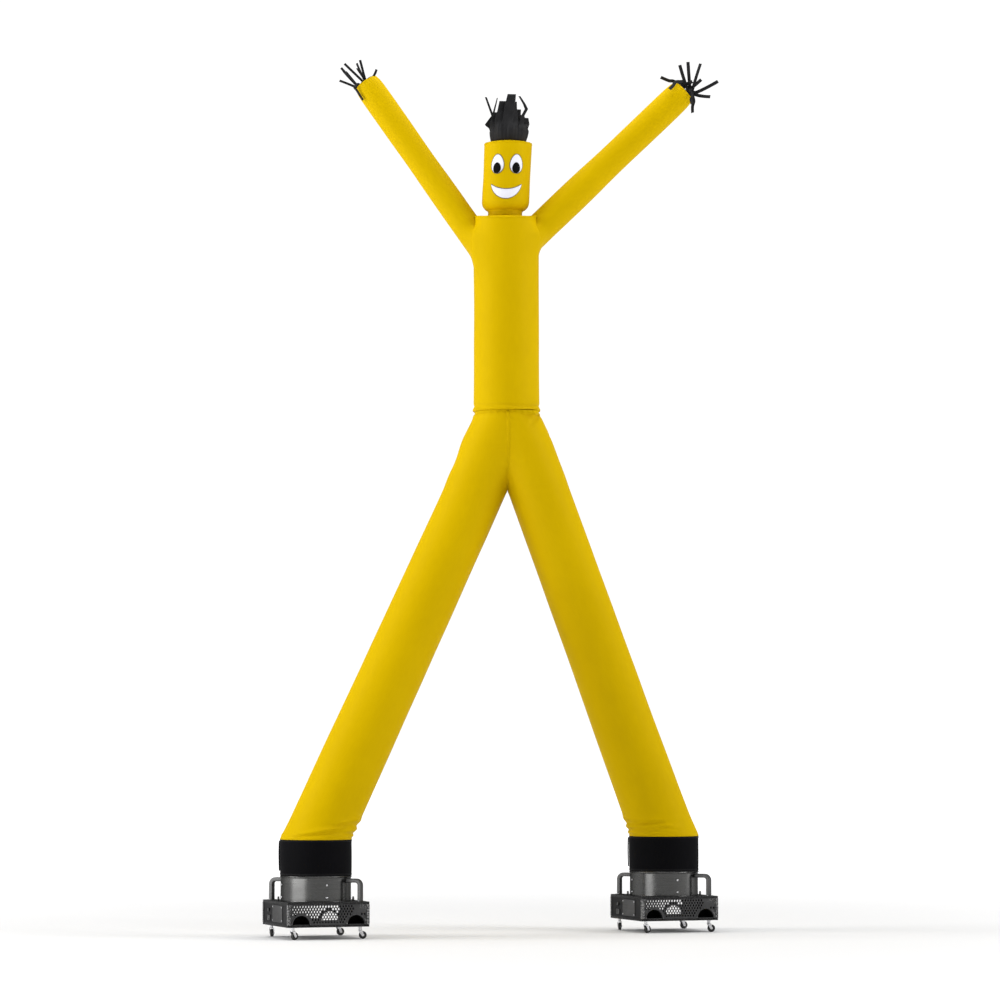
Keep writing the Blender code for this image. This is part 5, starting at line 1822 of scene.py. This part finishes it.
@dataclass
class BlowerBase:
    """A steel blower box: trays, meshed panels, duct, handles, cover and catches."""

    side: str
    x: float
    box: float = 0.550
    low: float = 0.080
    high: float = 0.240
    sheet: float = 0.003
    panel: float = 0.0025
    flange: float = 0.015
    duct: float = 0.2285
    duct_wall: float = 0.003
    duct_top: float = 0.465
    bead_z: float = 0.3975
    arch_x: float = 0.185
    arch_r: float = 0.057
    arch_low: float = 0.0985
    pitch: float = 0.0195  # between mesh holes along a row
    row: float = 0.0168  # between rows
    hole: float = 0.0086  # half height of a mesh hole
    narrow: float = 0.74  # of a regular hexagon's width
    first_row: float = 0.112
    louvres: int = 5
    louvre_low: float = 0.118
    louvre_step: float = 0.021
    mesh_reach: float = 0.247  # how far from the middle the holes go
    arch_margin: float = 0.0165  # closed sheet round an arch
    plain_corner: Pair = (0.172, 0.178)  # the front has no holes beyond this, to the right
    back_shift: Pair = (0.1768, 0.0268)  # how far the back's holes are from the front's

    @property
    def wall(self) -> float:
        """How far the outer faces of the four panels are from the base's axis."""
        return self.box / 2 - self.sheet - GAP

    @property
    def between(self) -> Pair:
        """The heights between the floor tray and the deck."""
        return self.low + self.sheet + GAP, self.high - self.sheet - GAP

    def name(self, part: str) -> str:
        """A piece's name, with the base's side."""
        return f"{self.side}_{part}"

    def node(self, part: str) -> tuple[str]:
        """The CAD node that a piece replaces."""
        return (self.name(part),)

    def slab(self, part: str, x: Pair, y: Pair, z: Pair) -> Shaper:
        """A block of this base, its x measured from the base's axis."""
        (x0, x1), (y0, y1) = sorted(x), sorted(y)
        return Shaper.box(self.name(part), (self.x + x0, y0, z[0]), (self.x + x1, y1, z[1]))

    def build(self) -> None:
        """Makes and dresses the whole base."""
        self.trays()
        self.mesh_panels()
        self.shade_sheet()
        self.side_panels()
        self.edging()
        self.ring()
        self.bolts()
        self.handles()
        self.cover()
        self.catches()

    def trays(self) -> None:
        """The deck and the floor tray, folded sheet with rounded corners."""
        deck = self._tray("deck_plate", self.high - self.flange, self.high, -1)
        hole = Shaper.drum("hole", self.duct - self.duct_wall, 0.2, 0.3, 96, (self.x, 0.0, 0.0))
        cut(deck.obj, hole.out())
        deck.soften(0.0008, 40.0, 2).done(Look.COAT, self.node("deck"))
        tray = self._tray("floor_plate", self.low, self.low + self.flange, 1)
        for sx, sy in CORNERS:
            at = (self.x + sx * KINGPIN, sy * KINGPIN, 0.0)
            cut(tray.obj, Shaper.drum("hole", 0.0063, 0.05, 0.12, 24, at).out())
        tray.soften(0.0008, 40.0, 2).done(Look.COAT, self.node("floor_tray"))

    def _tray(self, part: str, low: float, high: float, way: int) -> Shaper:
        """A folded tray that is open upwards, or downwards where way is -1."""
        half = self.box / 2
        tray = self.slab(part, (-half, half), (-half, half), (low, high))
        tray.pick(facing(2, way)).delete()
        tray.pick_edges(upright).round(0.004, 3)
        return tray.shell(self.sheet)

    def _mesh_cutter(self, y: float) -> Piece:
        """Every hole of one perforated panel, hexagonal prisms from one pattern."""
        deselect()
        bpy.ops.mesh.primitive_cylinder_add(vertices=6, radius=self.hole, depth=0.02, rotation=ALONG_Y)
        settle()
        shaped = Shaper("mesh_hole").pick_all()
        pattern = shaped.scale((self.narrow, 1.0, 1.0), (0.0, 0.0, 0.0)).out()
        base = pattern.data
        bm = bmesh.new()
        bottom, top = self.low + self.flange + 0.010, self.high - self.flange - 0.008
        across, drop = self.back_shift if y > 0 else (0.0, 0.0)
        for k in range(-4, 16):
            z = self.first_row + k * self.row - drop
            shift = self.pitch / 2 if k % 2 else 0.0
            for n in range(-40, 41):
                x = n * self.pitch + shift + across
                if abs(x) > self.mesh_reach or not bottom < z < top:
                    continue
                off = min(hypot(x - s * self.arch_x, z - self.arch_low) for s in (-1, 1))
                plain = y < 0 and z > self.plain_corner[1] and x > self.plain_corner[0]
                if off < self.arch_r + self.arch_margin or plain:
                    continue
                bm.from_mesh(base)
                bmesh.ops.translate(bm, verts=list(bm.verts)[-len(base.vertices):], vec=(self.x + x, y, z))
        obj = publish(bm, "mesh_cutter")
        scrap(pattern)
        return obj

    def mesh_panels(self) -> None:
        """The perforated front and back, each with two arched openings over the casters."""
        face = self.wall
        for end, sign in (("front", -1), ("back", 1)):
            y0, y1 = sorted((sign * face, sign * (face - self.panel)))
            panel = self.slab(f"mesh_{end}", (-face, face), (y0, y1), self.between)
            obj = panel.out()
            middle = (y0 + y1) / 2
            cut(obj, self._mesh_cutter(middle))
            for place in (-1, 1):
                at = (self.x + place * self.arch_x, middle, self.arch_low)
                hole = Shaper.drum("hole", self.arch_r, -0.01, 0.01, 64, at, ALONG_Y)
                cut(obj, hole.slice(self.arch_low, fill=True, above=True).out())
                self.arch_rim(end, sign, place, sign * face)
                # only the front arches get a hood of painted shade behind them
                if sign < 0:
                    self.well(end, sign, place)
            panel.done(Look.MESH, self.node(f"panel_{end}"), 30.0)

    def arch_rim(self, end: str, sign: int, place: int, y: float) -> None:
        """The raised round rim of an arched opening, swept by a spin."""
        middle = Vector((self.x + place * self.arch_x, y, self.arch_low))
        start = middle + Vector((self.arch_r + 0.0042, sign * 0.0016, 0.0))
        deselect()
        bpy.ops.mesh.primitive_circle_add(vertices=12, radius=0.0040, fill_type="NGON", location=start)
        settle()
        tag = "left" if place < 0 else "right"
        rim = Shaper(self.name(f"arch_rim_{end}_{tag}"))
        rim.pick_all()
        bpy.ops.mesh.spin(steps=32, dupli=False, angle=pi, center=middle, axis=(0.0, 1.0, 0.0))
        rim.weld().done(Look.EDGING)

    def well(self, end: str, sign: int, place: int) -> None:
        """The pressed hood behind an arched opening, over the caster's nut, near-black as painted shade."""
        tag = "left" if place < 0 else "right"
        half = 0.047
        at = (self.x + place * self.arch_x, sign * (self.wall - self.panel - 0.0004 - half), self.arch_low)
        hood = Shaper.drum(self.name(f"hood_{end}_{tag}"), self.arch_r + 0.005, -half, half, 48, at, ALONG_Y)
        hood.slice(self.arch_low - 0.006, above=True)
        hood.pick(facing(1, sign)).delete()
        hood.pick(facing(1, -sign)).inset(0.008, 0.0)
        hood.push((0.0, -sign * 0.004, 0.0)).shell(0.0015)
        hood.soften(0.0004, 40.0, 1).done(Look.LINING)

    def shade_sheet(self) -> None:
        """Near-black sheets with a pressed field on the inside of the box's closed walls and deck: painted
        shade for the box's inside.
        """
        wall, reach = self.wall - self.panel - 0.0006, 0.262
        low, high = self.low + self.sheet + 0.001, self.high - self.sheet - 0.001
        for end, sign in (("left", -1), ("right", 1)):
            x = (sign * wall, sign * (wall - 0.004))
            sheet = self.slab(f"lining_{end}", x, (-reach, reach), (low + 0.002, high - 0.002))
            sheet.pick(facing(0, -sign)).inset(0.012, 0.0).inset(0.003, 0.0012)
            sheet.soften(0.0006, 40.0, 2).done(Look.LINING)
        top = self.slab("lining_top", (-reach, reach), (-reach, reach), (high - 0.005, high - 0.001))
        top.out()
        cut(top.obj, Shaper.drum("hole", self.duct - 0.006, 0.15, 0.30, 96, (self.x, 0.0, 0.0)).out())
        top.soften(0.0006, 40.0, 2).done(Look.LINING)

    def side_panels(self) -> None:
        """The two closed sides, each with a shallow pressed field, louvres and screws."""
        face = self.wall
        reach = face - self.panel - GAP
        for end, sign in (("left", -1), ("right", 1)):
            x = (sign * face, sign * (face - self.panel))
            side = self.slab(f"side_{end}", x, (-reach, reach), self.between)
            side.pick(facing(0, sign)).inset(0.020).inset(0.003, -0.0010)
            side.soften(0.0004, 40.0, 1).done(Look.COAT, self.node(f"panel_{end}"))
        x = self.x + face - 0.0010
        for k in range(self.louvres):
            z = self.louvre_low + k * self.louvre_step
            louvre = Shaper.drum(self.name(f"louvre_{k}"), 0.0065, -0.075, 0.075, 16, (x, 0.02, z), ALONG_Y)
            louvre.pick_all().scale((0.75, 1.0, 1.0), (x, 0.0, z))
            louvre.soften(0.0015, 40.0, 2).done(Look.COAT)

    def edging(self) -> None:
        """Light angle trims down the four corners."""
        out, leg = self.box / 2 + 0.0002, 0.018
        for sx, sy in CORNERS:
            cx, cy = self.x + sx * out, sy * out
            x0, x1 = sorted((cx, cx - sx * leg))
            y0, y1 = sorted((cy, cy - sy * leg))
            name = self.name(f"corner_{'front' if sy < 0 else 'back'}_{'left' if sx < 0 else 'right'}")
            trim = Shaper.box(name, (x0, y0, self.low + 0.016), (x1, y1, self.high - 0.016))
            trim.pick(lambda f: abs(f.normal.z) > 0.5 or f.normal.x * sx < -0.5 or f.normal.y * sy < -0.5)
            trim.delete()
            trim.pick_edges(lambda a, b: max(abs(p.x - cx) + abs(p.y - cy) for p in (a, b)) < 1e-5)
            trim.round(0.0035, 4).shell(0.0016, 1.0)
            trim.soften(0.0004, 40.0, 1).done(Look.EDGING)

    def ring(self) -> None:
        """The duct, rolled sheet with a bead and a foot flange."""
        foot, r = self.high + GAP, self.duct
        at = (self.x, 0.0, 0.0)
        duct = Shaper.drum(self.name("duct_ring"), r, foot, self.duct_top, 96, at, capped=False)
        for z in (foot + 0.003, *(self.bead_z + d for d in BEAD_ROWS)):
            duct.slice(z)
        for lift, out in BEAD:
            z = self.bead_z + lift
            duct.pick_edges(level(z)).scale(((r + out) / r, (r + out) / r, 1.0), (self.x, 0.0, z))
        duct.pick_edges(level(foot))
        bpy.ops.mesh.extrude_edges_move()
        grown = (r + 0.012) / r
        duct.scale((grown, grown, 1.0), (self.x, 0.0, foot)).shell(self.duct_wall)
        duct.soften(0.0007, 50.0, 2).done(Look.DUCT, self.node("duct"), 40.0)

    def bolts(self) -> None:
        """Round-headed bolts in pairs at the four quarters of the ring."""
        bolt = Shaper.drum("bolt", 0.0062, -0.0005, 0.0042, 20)
        bolt.pick(facing(2, 1)).inset(0.0020, 0.0008).inset(0.0018, 0.0)
        bolt.push((0.0, 0.0, -0.0016))
        pattern = bolt.soften(0.0006, 35.0, 2).shaded()
        places = [(quarter, z) for quarter in range(4) for z in (0.266, 0.346)]
        for number, (quarter, z) in enumerate(places):
            way = Matrix.Rotation(quarter * pi / 2, 4, "Z") @ Matrix.Translation((self.duct, 0.0, z))
            matrix = Matrix.Translation((self.x, 0.0, 0.0)) @ way @ Matrix.Rotation(pi / 2, 4, "Y")
            place_copy(pattern, self.name(f"ring_bolt_{number}"), matrix, Look.BRIGHT)
        scrap(pattern)

    def handles(self) -> None:
        """Two bent flat tubes from the deck's corners to the ring, each on a foot plate."""
        reach, half_in, half_wide, bend = 0.3219, 0.013, 0.019, 0.030
        foot, knee = self.high + GAP, 0.386 - half_in - bend
        tube = Shaper.box("handle", (reach - half_in, -half_wide, foot), (reach + half_in, half_wide, knee))
        tube.pick_edges(upright).round(0.0055, 4)
        tube.pick(facing(2, 1))
        pivot = {"center": (reach - bend, 0.0, knee), "axis": (0.0, 1.0, 0.0)}
        bpy.ops.mesh.spin(steps=12, dupli=False, angle=pi / 2, **pivot)
        tube.push((self.duct - 0.0012 - reach + bend, 0.0, 0.0))
        bar = tube.weld().shaded(40.0)
        flat = Shaper.box("plate", (reach - 0.024, -0.030, foot), (reach + 0.024, 0.030, foot + 0.0022))
        plate = flat.pick_edges(upright).round(0.008, 4).soften(0.0006, 40.0, 2).shaded()
        head = Shaper.drum("screw", 0.0038, foot + 0.001, foot + 0.0045, 16)
        screw = head.pick(facing(2, 1)).inset(0.0016, 0.0004).soften(0.0005, 35.0, 2).out()
        for end, turn in (("left", 135.0), ("right", -45.0)):
            matrix = Matrix.Translation((self.x, 0.0, 0.0)) @ Matrix.Rotation(radians(turn), 4, "Z")
            nodes = self.node(f"handle_{end}")
            place_copy(bar, self.name(f"handle_bar_{end}"), matrix, Look.HANDLE, BODY, nodes)
            place_copy(plate, self.name(f"handle_foot_{end}"), matrix, Look.HANDLE)
            for number, y in enumerate((-0.0245, 0.0245)):
                spot = matrix @ Matrix.Translation((reach, y, 0.0))
                place_copy(screw, self.name(f"handle_screw_{end}_{number}"), spot, Look.BRIGHT)
        scrap(bar, plate, screw)

    def cover(self) -> None:
        """The lighter plate on the -X side with its screws, and the power inlet beside it."""
        outer = self.x - self.wall
        face = outer - GAP - 0.0020
        plate = Shaper.box(self.name("cover_plate"), (face, -0.145, 0.106), (outer - GAP, 0.065, 0.214))
        plate.pick_edges(lambda a, b: abs(a.y - b.y) < 1e-6 and abs(a.z - b.z) < 1e-6).round(0.005, 4)
        plate.soften(0.0005, 40.0, 2).done(Look.COVER, self.node("cover"))
        head = Shaper.drum("screw", 0.0048, -0.0004, 0.0024, 20)
        screw = head.pick(facing(2, 1)).inset(0.0022, 0.0005).soften(0.0006, 35.0, 2).shaded()
        places = [(y, z) for y in (0.056, -0.136) for z in (0.117, 0.203)]
        for number, (y, z) in enumerate(places):
            matrix = Matrix.Translation((face, y, z)) @ Matrix.Rotation(-pi / 2, 4, "Y")
            place_copy(screw, self.name(f"cover_screw_{number}"), matrix, Look.BRIGHT)
        scrap(screw)
        inlet = Shaper.box(self.name("inlet"), (outer - 0.0048, 0.118, 0.112), (outer + 0.0004, 0.168, 0.146))
        inlet.pick(facing(0, -1)).inset(0.004, 0.0).inset(0.0015, -0.0032)
        inlet.soften(0.0008, 40.0, 2).done(Look.CATCH)
        at, turn = (outer, 0.142, 0.180), (0.0, -pi / 2, 0.0)
        knob = Shaper.drum(self.name("inlet_knob"), 0.0105, -0.0005, 0.0085, 32, at, turn)
        knob.pick(facing(0, -1)).inset(0.0022, 0.0).inset(0.001, -0.001)
        knob.soften(0.0009, 35.0, 2).done(Look.CATCH)

    def catches(self) -> None:
        """The two short catches on the deck beside the ring."""
        foot = self.high + GAP
        for end, sign in (("left", -1), ("right", 1)):
            at = (self.x + sign * 0.2270, -sign * 0.085, 0.0)
            knob = Shaper.drum(self.name(f"catch_post_{end}"), 0.0070, foot, foot + 0.018, 24, at)
            knob.pick(facing(2, 1)).push((0.0, 0.0, 0.003))
            knob.scale((0.62, 0.62, 1.0), (at[0], at[1], 0.0)).push((0.0, 0.0, 0.002))
            knob.scale((1.45, 1.45, 1.0), (at[0], at[1], 0.0)).push((0.0, 0.0, 0.003))
            knob.soften(0.0007, 30.0, 2).done(Look.CATCH, self.node(f"catch_{end}"))


@dataclass(frozen=True)
class Caster:
    """A swivel caster: corner of the base, its signs, and which way its wheel trails."""

    corner: str
    sx: int
    sy: int
    trail: float


CASTERS = (
    Caster("front_left", -1, -1, 25.0),
    Caster("front_right", 1, -1, -12.0),
    Caster("back_left", -1, 1, 62.0),
    Caster("back_right", 1, 1, 8.0),
)


@dataclass
class CasterWorks:
    """Makes one yoke and one wheel, and copies them to every corner of both bases."""

    radius: float = 0.025
    half: float = 0.009
    trail: float = 0.016
    wide: float = 0.0145
    sheet: float = 0.0028
    top: float = 0.0575

    def yoke(self) -> Piece:
        """The yoke with its race, kingpin, nut and axle, the kingpin on Z at the origin."""
        foot = self.radius - 0.008
        pieces = []
        for sign in (-1, 1):
            y0, y1 = sorted((sign * self.wide, sign * (self.wide - self.sheet)))
            prong = Shaper.box("prong", (-0.012, y0, foot), (0.012, y1, self.top - 0.0004))
            prong.pick(facing(2, -1)).scale((0.667, 1.0, 1.0), (0.0, 0.0, foot))
            bpy.ops.transform.translate(value=(self.trail, 0.0, 0.0))
            prong.pick_edges(lambda a, b: a.z < foot + 1e-4 and b.z < foot + 1e-4 and abs(a.y - b.y) > 1e-4)
            prong.round(0.0065, 5)
            pieces.append(prong.soften(0.0004, 40.0, 1).obj)
        low, high = (-0.0125, -self.wide, self.top - self.sheet), (0.0125, self.wide, self.top)
        crown = Shaper.box("crown", low, high)
        crown.pick_edges(upright).round(0.004, 3)
        pieces.append(crown.soften(0.0005, 40.0, 2).obj)
        groove = 0.0685
        race = Shaper.drum("race", 0.0130, self.top - 0.0005, 0.0797, 40)
        race.pick(facing(2, -1)).scale((0.82, 0.82, 1.0), (0.0, 0.0, self.top))
        race.slice(groove).pick_edges(level(groove)).scale((0.86, 0.86, 1.0), (0.0, 0.0, groove))
        pieces.append(race.soften(0.0006, 30.0, 2).obj)
        pin = Shaper.drum("pin", 0.0050, 0.079, 0.084, 20)
        pieces.append(pin.out())
        nut = Shaper.drum("nut", 0.0095, 0.0833, 0.0872, 6)
        nut.pick(facing(2, 1)).inset(0.0022, 0.0).push((0.0, 0.0, 0.0022))
        nut.scale((0.80, 0.80, 1.0), (0.0, 0.0, 0.0894)).push((0.0, 0.0, 0.0009))
        nut.scale((0.5, 0.5, 1.0), (0.0, 0.0, 0.09))
        pieces.append(nut.soften(0.0005, 25.0, 2).obj)
        at = (self.trail, 0.0, self.radius)
        axle = Shaper.drum("axle", 0.0030, -0.0160, 0.0160, 20, at, ALONG_Y)
        pieces.append(axle.soften(0.0005, 30.0, 1).obj)
        low, high = self.wide - 0.0002, self.wide + 0.0014
        for sign in (-1, 1):
            head = Shaper.drum("axle_head", 0.0058, low, high, 6, at, (-sign * pi / 2, 0.0, 0.0))
            pieces.append(head.soften(0.0003, 30.0, 1).obj)
        obj = join(pieces, "yoke_pattern")
        harden(obj)
        return obj

    def wheel(self) -> Piece:
        """The tyre round the origin, its axle along Y."""
        tyre = Shaper.drum("tyre", self.radius, -self.half, self.half, 48, turn=ALONG_Y)
        tyre.pick(lambda f: abs(f.normal.y) > 0.5).inset(0.0058, 0.0).inset(0.0012, -0.0016)
        tyre.pick_edges(
            lambda a, b: abs(a.xz.length - self.radius) < 1e-4 and abs(b.xz.length - self.radius) < 1e-4
            and abs(a.y - b.y) < 1e-5
        ).round(0.0022, 3)
        cut(tyre.out(), Shaper.drum("bore", 0.0038, -0.02, 0.02, 24, turn=ALONG_Y).out())
        return tyre.shaded()

    def hub(self) -> Piece:
        """The bright bearing ring in a wheel."""
        hub = Shaper.drum("hub", 0.0090, -0.0094, 0.0094, 32, turn=ALONG_Y)
        hub.pick(lambda f: abs(f.normal.y) > 0.5).inset(0.0020, 0.0).inset(0.0008, -0.0010)
        cut(hub.out(), Shaper.drum("bore", 0.0038, -0.02, 0.02, 24, turn=ALONG_Y).out())
        return hub.soften(0.0003, 35.0, 1).shaded()

    def build(self, bases: Sequence[BlowerBase]) -> None:
        """Copies the yoke, the tyre and the hub to each corner.

        Args:
            bases: The bases that they carry.
        """
        yoke, tyre, hub = self.yoke(), self.wheel(), self.hub()
        for base in bases:
            for caster in CASTERS:
                tag = f"{base.side}_{caster.corner}"
                turn = Matrix.Rotation(radians(caster.trail), 4, "Z")
                spot = (base.x + caster.sx * KINGPIN, caster.sy * KINGPIN, 0.0)
                at = Matrix.Translation(spot) @ turn
                axle = at @ Matrix.Translation((self.trail, 0.0, self.radius))
                fork, wheel = f"fork_{tag}", f"wheel_{tag}"
                place_copy(yoke, f"yoke_{tag}", at, Look.BRIGHT, fork, (fork,))
                place_copy(tyre, f"tyre_{tag}", axle, Look.TREAD, wheel, (wheel,))
                place_copy(hub, f"hub_{tag}", axle, Look.BRIGHT, wheel)
        scrap(yoke, tyre, hub)


# ---------------------------------------------------------------- the figure and its seams
@dataclass
class Figure:
    """The whole cloth figure."""

    seam: float = 0.010  # width of a plain seam tape
    seam_tall: float = 0.0016

    def ring_tape(
        self, tube: Tube, name: str, at: float, wide: float, tall: float, look: Look = Look.YELLOW_TAPE
    ) -> None:
        """A tape right round a tube at a station."""
        tape_on(tube, name, [(TAU * i / 96, at) for i in range(96)], wide, tall, look, True)

    def long_tape(self, tube: Tube, name: str, turn: float, low: float, high: float, steps: int = 90) -> None:
        """A tape along a tube."""
        path = [(turn, low + (high - low) * i / steps) for i in range(steps + 1)]
        tape_on(tube, name, path, self.seam, self.seam_tall, Look.YELLOW_TAPE)

    def legs(self) -> None:
        """Both legs, their hems and the felled seam that joins them."""
        left = Leg("leg_left_cloth", nodes=("leg_left",), rests=("cuff_left_cloth",))
        right = Leg(
            "leg_right_cloth", nodes=("leg_right",), rests=("cuff_right_cloth",), flip=True,
            rows=RIGHT_LEG, other=LEFT_LEG, inner=-1, creases=RIGHT_CREASES,
        )
        for leg, side in ((left, "left"), (right, "right")):
            self.ring_tape(leg, f"ankle_tape_{side}", ANKLE_Z + 0.005, 0.009, 0.0018)
            self.long_tape(leg, f"leg_seam_{side}", 0.62 * pi, ANKLE_Z + 0.012, WAIST_Z - 0.012, 150)
        heights = [CROTCH_Z + 0.004 + (WAIST_Z - 0.012 - CROTCH_Z) * i / 60 for i in range(61)]
        out_way = body_point(0.0, 1.0, 0.0) - body_point(0.0, 0.0, 0.0)
        side_way = body_point(1.0, 0.0, 0.0) - body_point(0.0, 0.0, 0.0)
        for name, turn, sign in (("back", 0.0, 1), ("front", TAU, -1)):
            lift = out_way * (0.0006 * sign)
            line = [(left.skin(turn, z) + right.skin(turn, z)) / 2 + lift for z in heights]
            away = [out_way * sign] * len(line)
            side = [side_way * -sign] * len(line)
            left.extras.append(tape(f"crotch_seam_{name}", line, side, away, 0.023, 0.0026, Look.YELLOW_TAPE))
        left.build()
        right.build()

    def cuffs(self) -> None:
        """The black sleeves with their hems and hook-tape flaps."""
        for side, x in (("left", -1.2255), ("right", 1.2255)):
            cuff = Cuff(f"cuff_{side}_cloth", nodes=(f"cuff_{side}",), rests=(f"{side}_duct_ring",), x=x)
            self.ring_tape(cuff, f"cuff_low_hem_{side}", 0.4125, 0.013, 0.0014, Look.CUFF_TAPE)
            self.ring_tape(cuff, f"cuff_high_hem_{side}", 0.6280, 0.011, 0.0012, Look.CUFF_TAPE)
            turn = radians(158)
            line, way, out = [], [], []
            for i in range(31):
                z = 0.626 - 0.193 * i / 30
                lift = 0.0010 + 0.0010 * ease(i / 14)
                line.append(cuff.skin(turn, z, lift))
                way.append(Vector((sin(turn), -cos(turn), 0.0)))
                out.append(Vector((cos(turn), sin(turn), 0.0)))
            flap = tape(f"cuff_flap_{side}", line, way, out, 0.056, 0.0072, Look.CUFF_TAPE)
            cuff.extras.append(flap)
            cuff.build()

    def trunk(self) -> None:
        """Torso and top panel with their tapes."""
        legs = ("leg_left_cloth", "leg_right_cloth")
        torso = Torso("torso_cloth", nodes=("torso",), rests=legs, columns=96)
        self.ring_tape(torso, "waist_tape", 0.0060, 0.007, 0.0016)
        self.ring_tape(torso, "shoulder_tape", 0.9985, 0.009, 0.0016)
        self.long_tape(torso, "torso_seam", 0.5 * pi, 0.006, 0.994)
        torso.build()
        Yoke("shoulder_panel_cloth", nodes=("shoulder_panel",), rests=("torso_cloth",), columns=96).build()

    def arms(self) -> None:
        """Both arms with their tapes and streamers."""
        for side in ("left", "right"):
            nodes = (f"arm_{side}",)
            arm = Arm(f"arm_{side}_cloth", nodes=nodes, rests=("torso_cloth",), side=side, flip=True)
            self.ring_tape(arm, f"arm_end_tape_{side}", 0.993, 0.008, 0.0012)
            self.long_tape(arm, f"arm_seam_{side}", 0.25 * TAU, 0.012, 0.985)
            Streamers(side, arm, STRIPS[side], *STRIP_SIZES[side]).build()
            arm.build()

    def head(self) -> None:
        """Head, crown, face and hair."""
        head = Head("head_cloth", nodes=("head",), rests=("shoulder_panel_cloth",), first=-pi)
        self.ring_tape(head, "neck_tape", HEAD_LOW + 0.006, 0.009, 0.0016)
        self.ring_tape(head, "crown_tape", HEAD_HIGH - 0.005, 0.008, 0.0014)
        self.long_tape(head, "head_seam", radians(180), HEAD_LOW + 0.012, HEAD_HIGH - 0.012)
        Face(head).build()
        head.build()
        crown = Crown("head_top_cloth", nodes=("head_top",), rests=("head_cloth",), columns=96)
        self.ring_tape(crown, "vent_tape", 0.95, 0.008, 0.0012)
        crown.build()
        Hair().build()


@dataclass(frozen=True)
class Lamp:
    """A soft studio light that faces the figure."""

    name: str
    azimuth: float
    elevation: float
    distance: float
    wide: float
    tall: float
    power: float
    aim: float = 3.0

    def build(self) -> None:
        """Places the light."""
        data = bpy.data.lights.new(self.name, "AREA")
        data.shape = "RECTANGLE"
        data.size, data.size_y, data.energy = self.wide, self.tall, self.power
        lamp = bpy.data.objects.new(self.name, data)
        a, e = radians(self.azimuth), radians(self.elevation)
        way = Vector((sin(a) * cos(e), -cos(a) * cos(e), sin(e)))
        lamp.location = Vector((0.0, 0.0, self.aim)) + way * self.distance
        lamp.rotation_euler = way.to_track_quat("Z", "Y").to_euler()
        bpy.context.scene.collection.objects.link(lamp)


@dataclass
class Studio:
    """Camera, pale floor and soft light."""

    lens: float = 135.8
    azimuth: float = -20.6
    pitch: float = 3.59
    place: tuple[float, float, float] = (-8.752, -23.418, 1.30)
    floor_radius: float = 90.0
    sky: float = 0.30  # light from the far side
    dark: float = 0.12  # light from behind the camera
    turn_over: Pair = (-0.75, 0.35)  # where the dark side ends and the far side begins
    horizon: float = 1.05  # the backdrop itself
    lamps: tuple[Lamp, ...] = (
        Lamp("key", -102.0, 24.0, 20.0, 9.0, 9.0, 2250.0, 2.2),
        Lamp("fill", 54.0, 24.0, 20.0, 9.0, 9.0, 1950.0, 2.0),
        Lamp("base_key", -78.0, 2.0, 9.0, 7.0, 1.6, 260.0, 0.7),
        Lamp("base_fill", 76.0, 2.0, 9.0, 3.0, 1.4, 40.0, 0.6),
        Lamp("overhead", 0.0, 89.0, 9.5, 12.0, 12.0, 1250.0),
    )

    def camera(self) -> None:
        """A long lens, level with a standing person's chest."""
        data = bpy.data.cameras.new("camera")
        data.lens, data.sensor_width = self.lens, 36.0
        data.clip_end = 300.0
        camera = bpy.data.objects.new("camera", data)
        camera.location = self.place
        camera.rotation_euler = (radians(90 + self.pitch), 0.0, radians(self.azimuth))
        bpy.context.scene.collection.objects.link(camera)
        bpy.context.scene.camera = camera

    def floor(self) -> None:
        """A wide pale disc."""
        deselect()
        bpy.ops.mesh.primitive_circle_add(vertices=96, radius=self.floor_radius, fill_type="NGON")
        floor = Shaper("floor").out()
        floor.data.materials.append(Floor("floor_look", 0.72).make())

    def world(self) -> None:
        """A white backdrop that is seen, and a dimmer sky that lights and shows in the metal."""
        board = Board("studio", bpy.data.worlds)
        yaw = radians(self.azimuth)
        ahead = (-sin(yaw), cos(yaw), 0.0)
        place = board.node("TexCoord", {}, {}, "Generated")
        behind = board.node("VectorMath", {"operation": "DOT_PRODUCT"}, {0: place, 1: ahead}, "Value")
        low, high = self.turn_over
        spread = {"From Min": low, "From Max": high, "To Min": self.dark, "To Max": self.sky}
        side = board.node("MapRange", {"interpolation_type": "SMOOTHSTEP"}, {"Value": behind, **spread})
        seen = board.node("LightPath", {}, {}, "Is Camera Ray")
        board.set(Color=(1.0, 1.0, 1.0), Strength=board.node("Mix", {}, {0: seen, 2: side, 3: self.horizon}))
        bpy.context.scene.world = board.owner

    def build(self) -> None:
        """Sets up the whole studio."""
        bpy.context.scene.view_settings.view_transform = "Standard"
        self.camera()
        self.floor()
        self.world()
        for lamp in self.lamps:
            lamp.build()


def main() -> None:
    """Builds the dressed model in order."""
    logging.basicConfig(level=logging.INFO, format="%(message)s")
    Studio().build()
    figure = Figure()
    for step in (figure.cuffs, figure.legs, figure.trunk, figure.arms, figure.head):
        step()
    bases = [BlowerBase("left", -1.2255), BlowerBase("right", 1.2255, back_shift=(0.2343, 0.0268))]
    for base in bases:
        base.build()
    CasterWorks().build(bases)


if __name__ == "__main__":
    main()
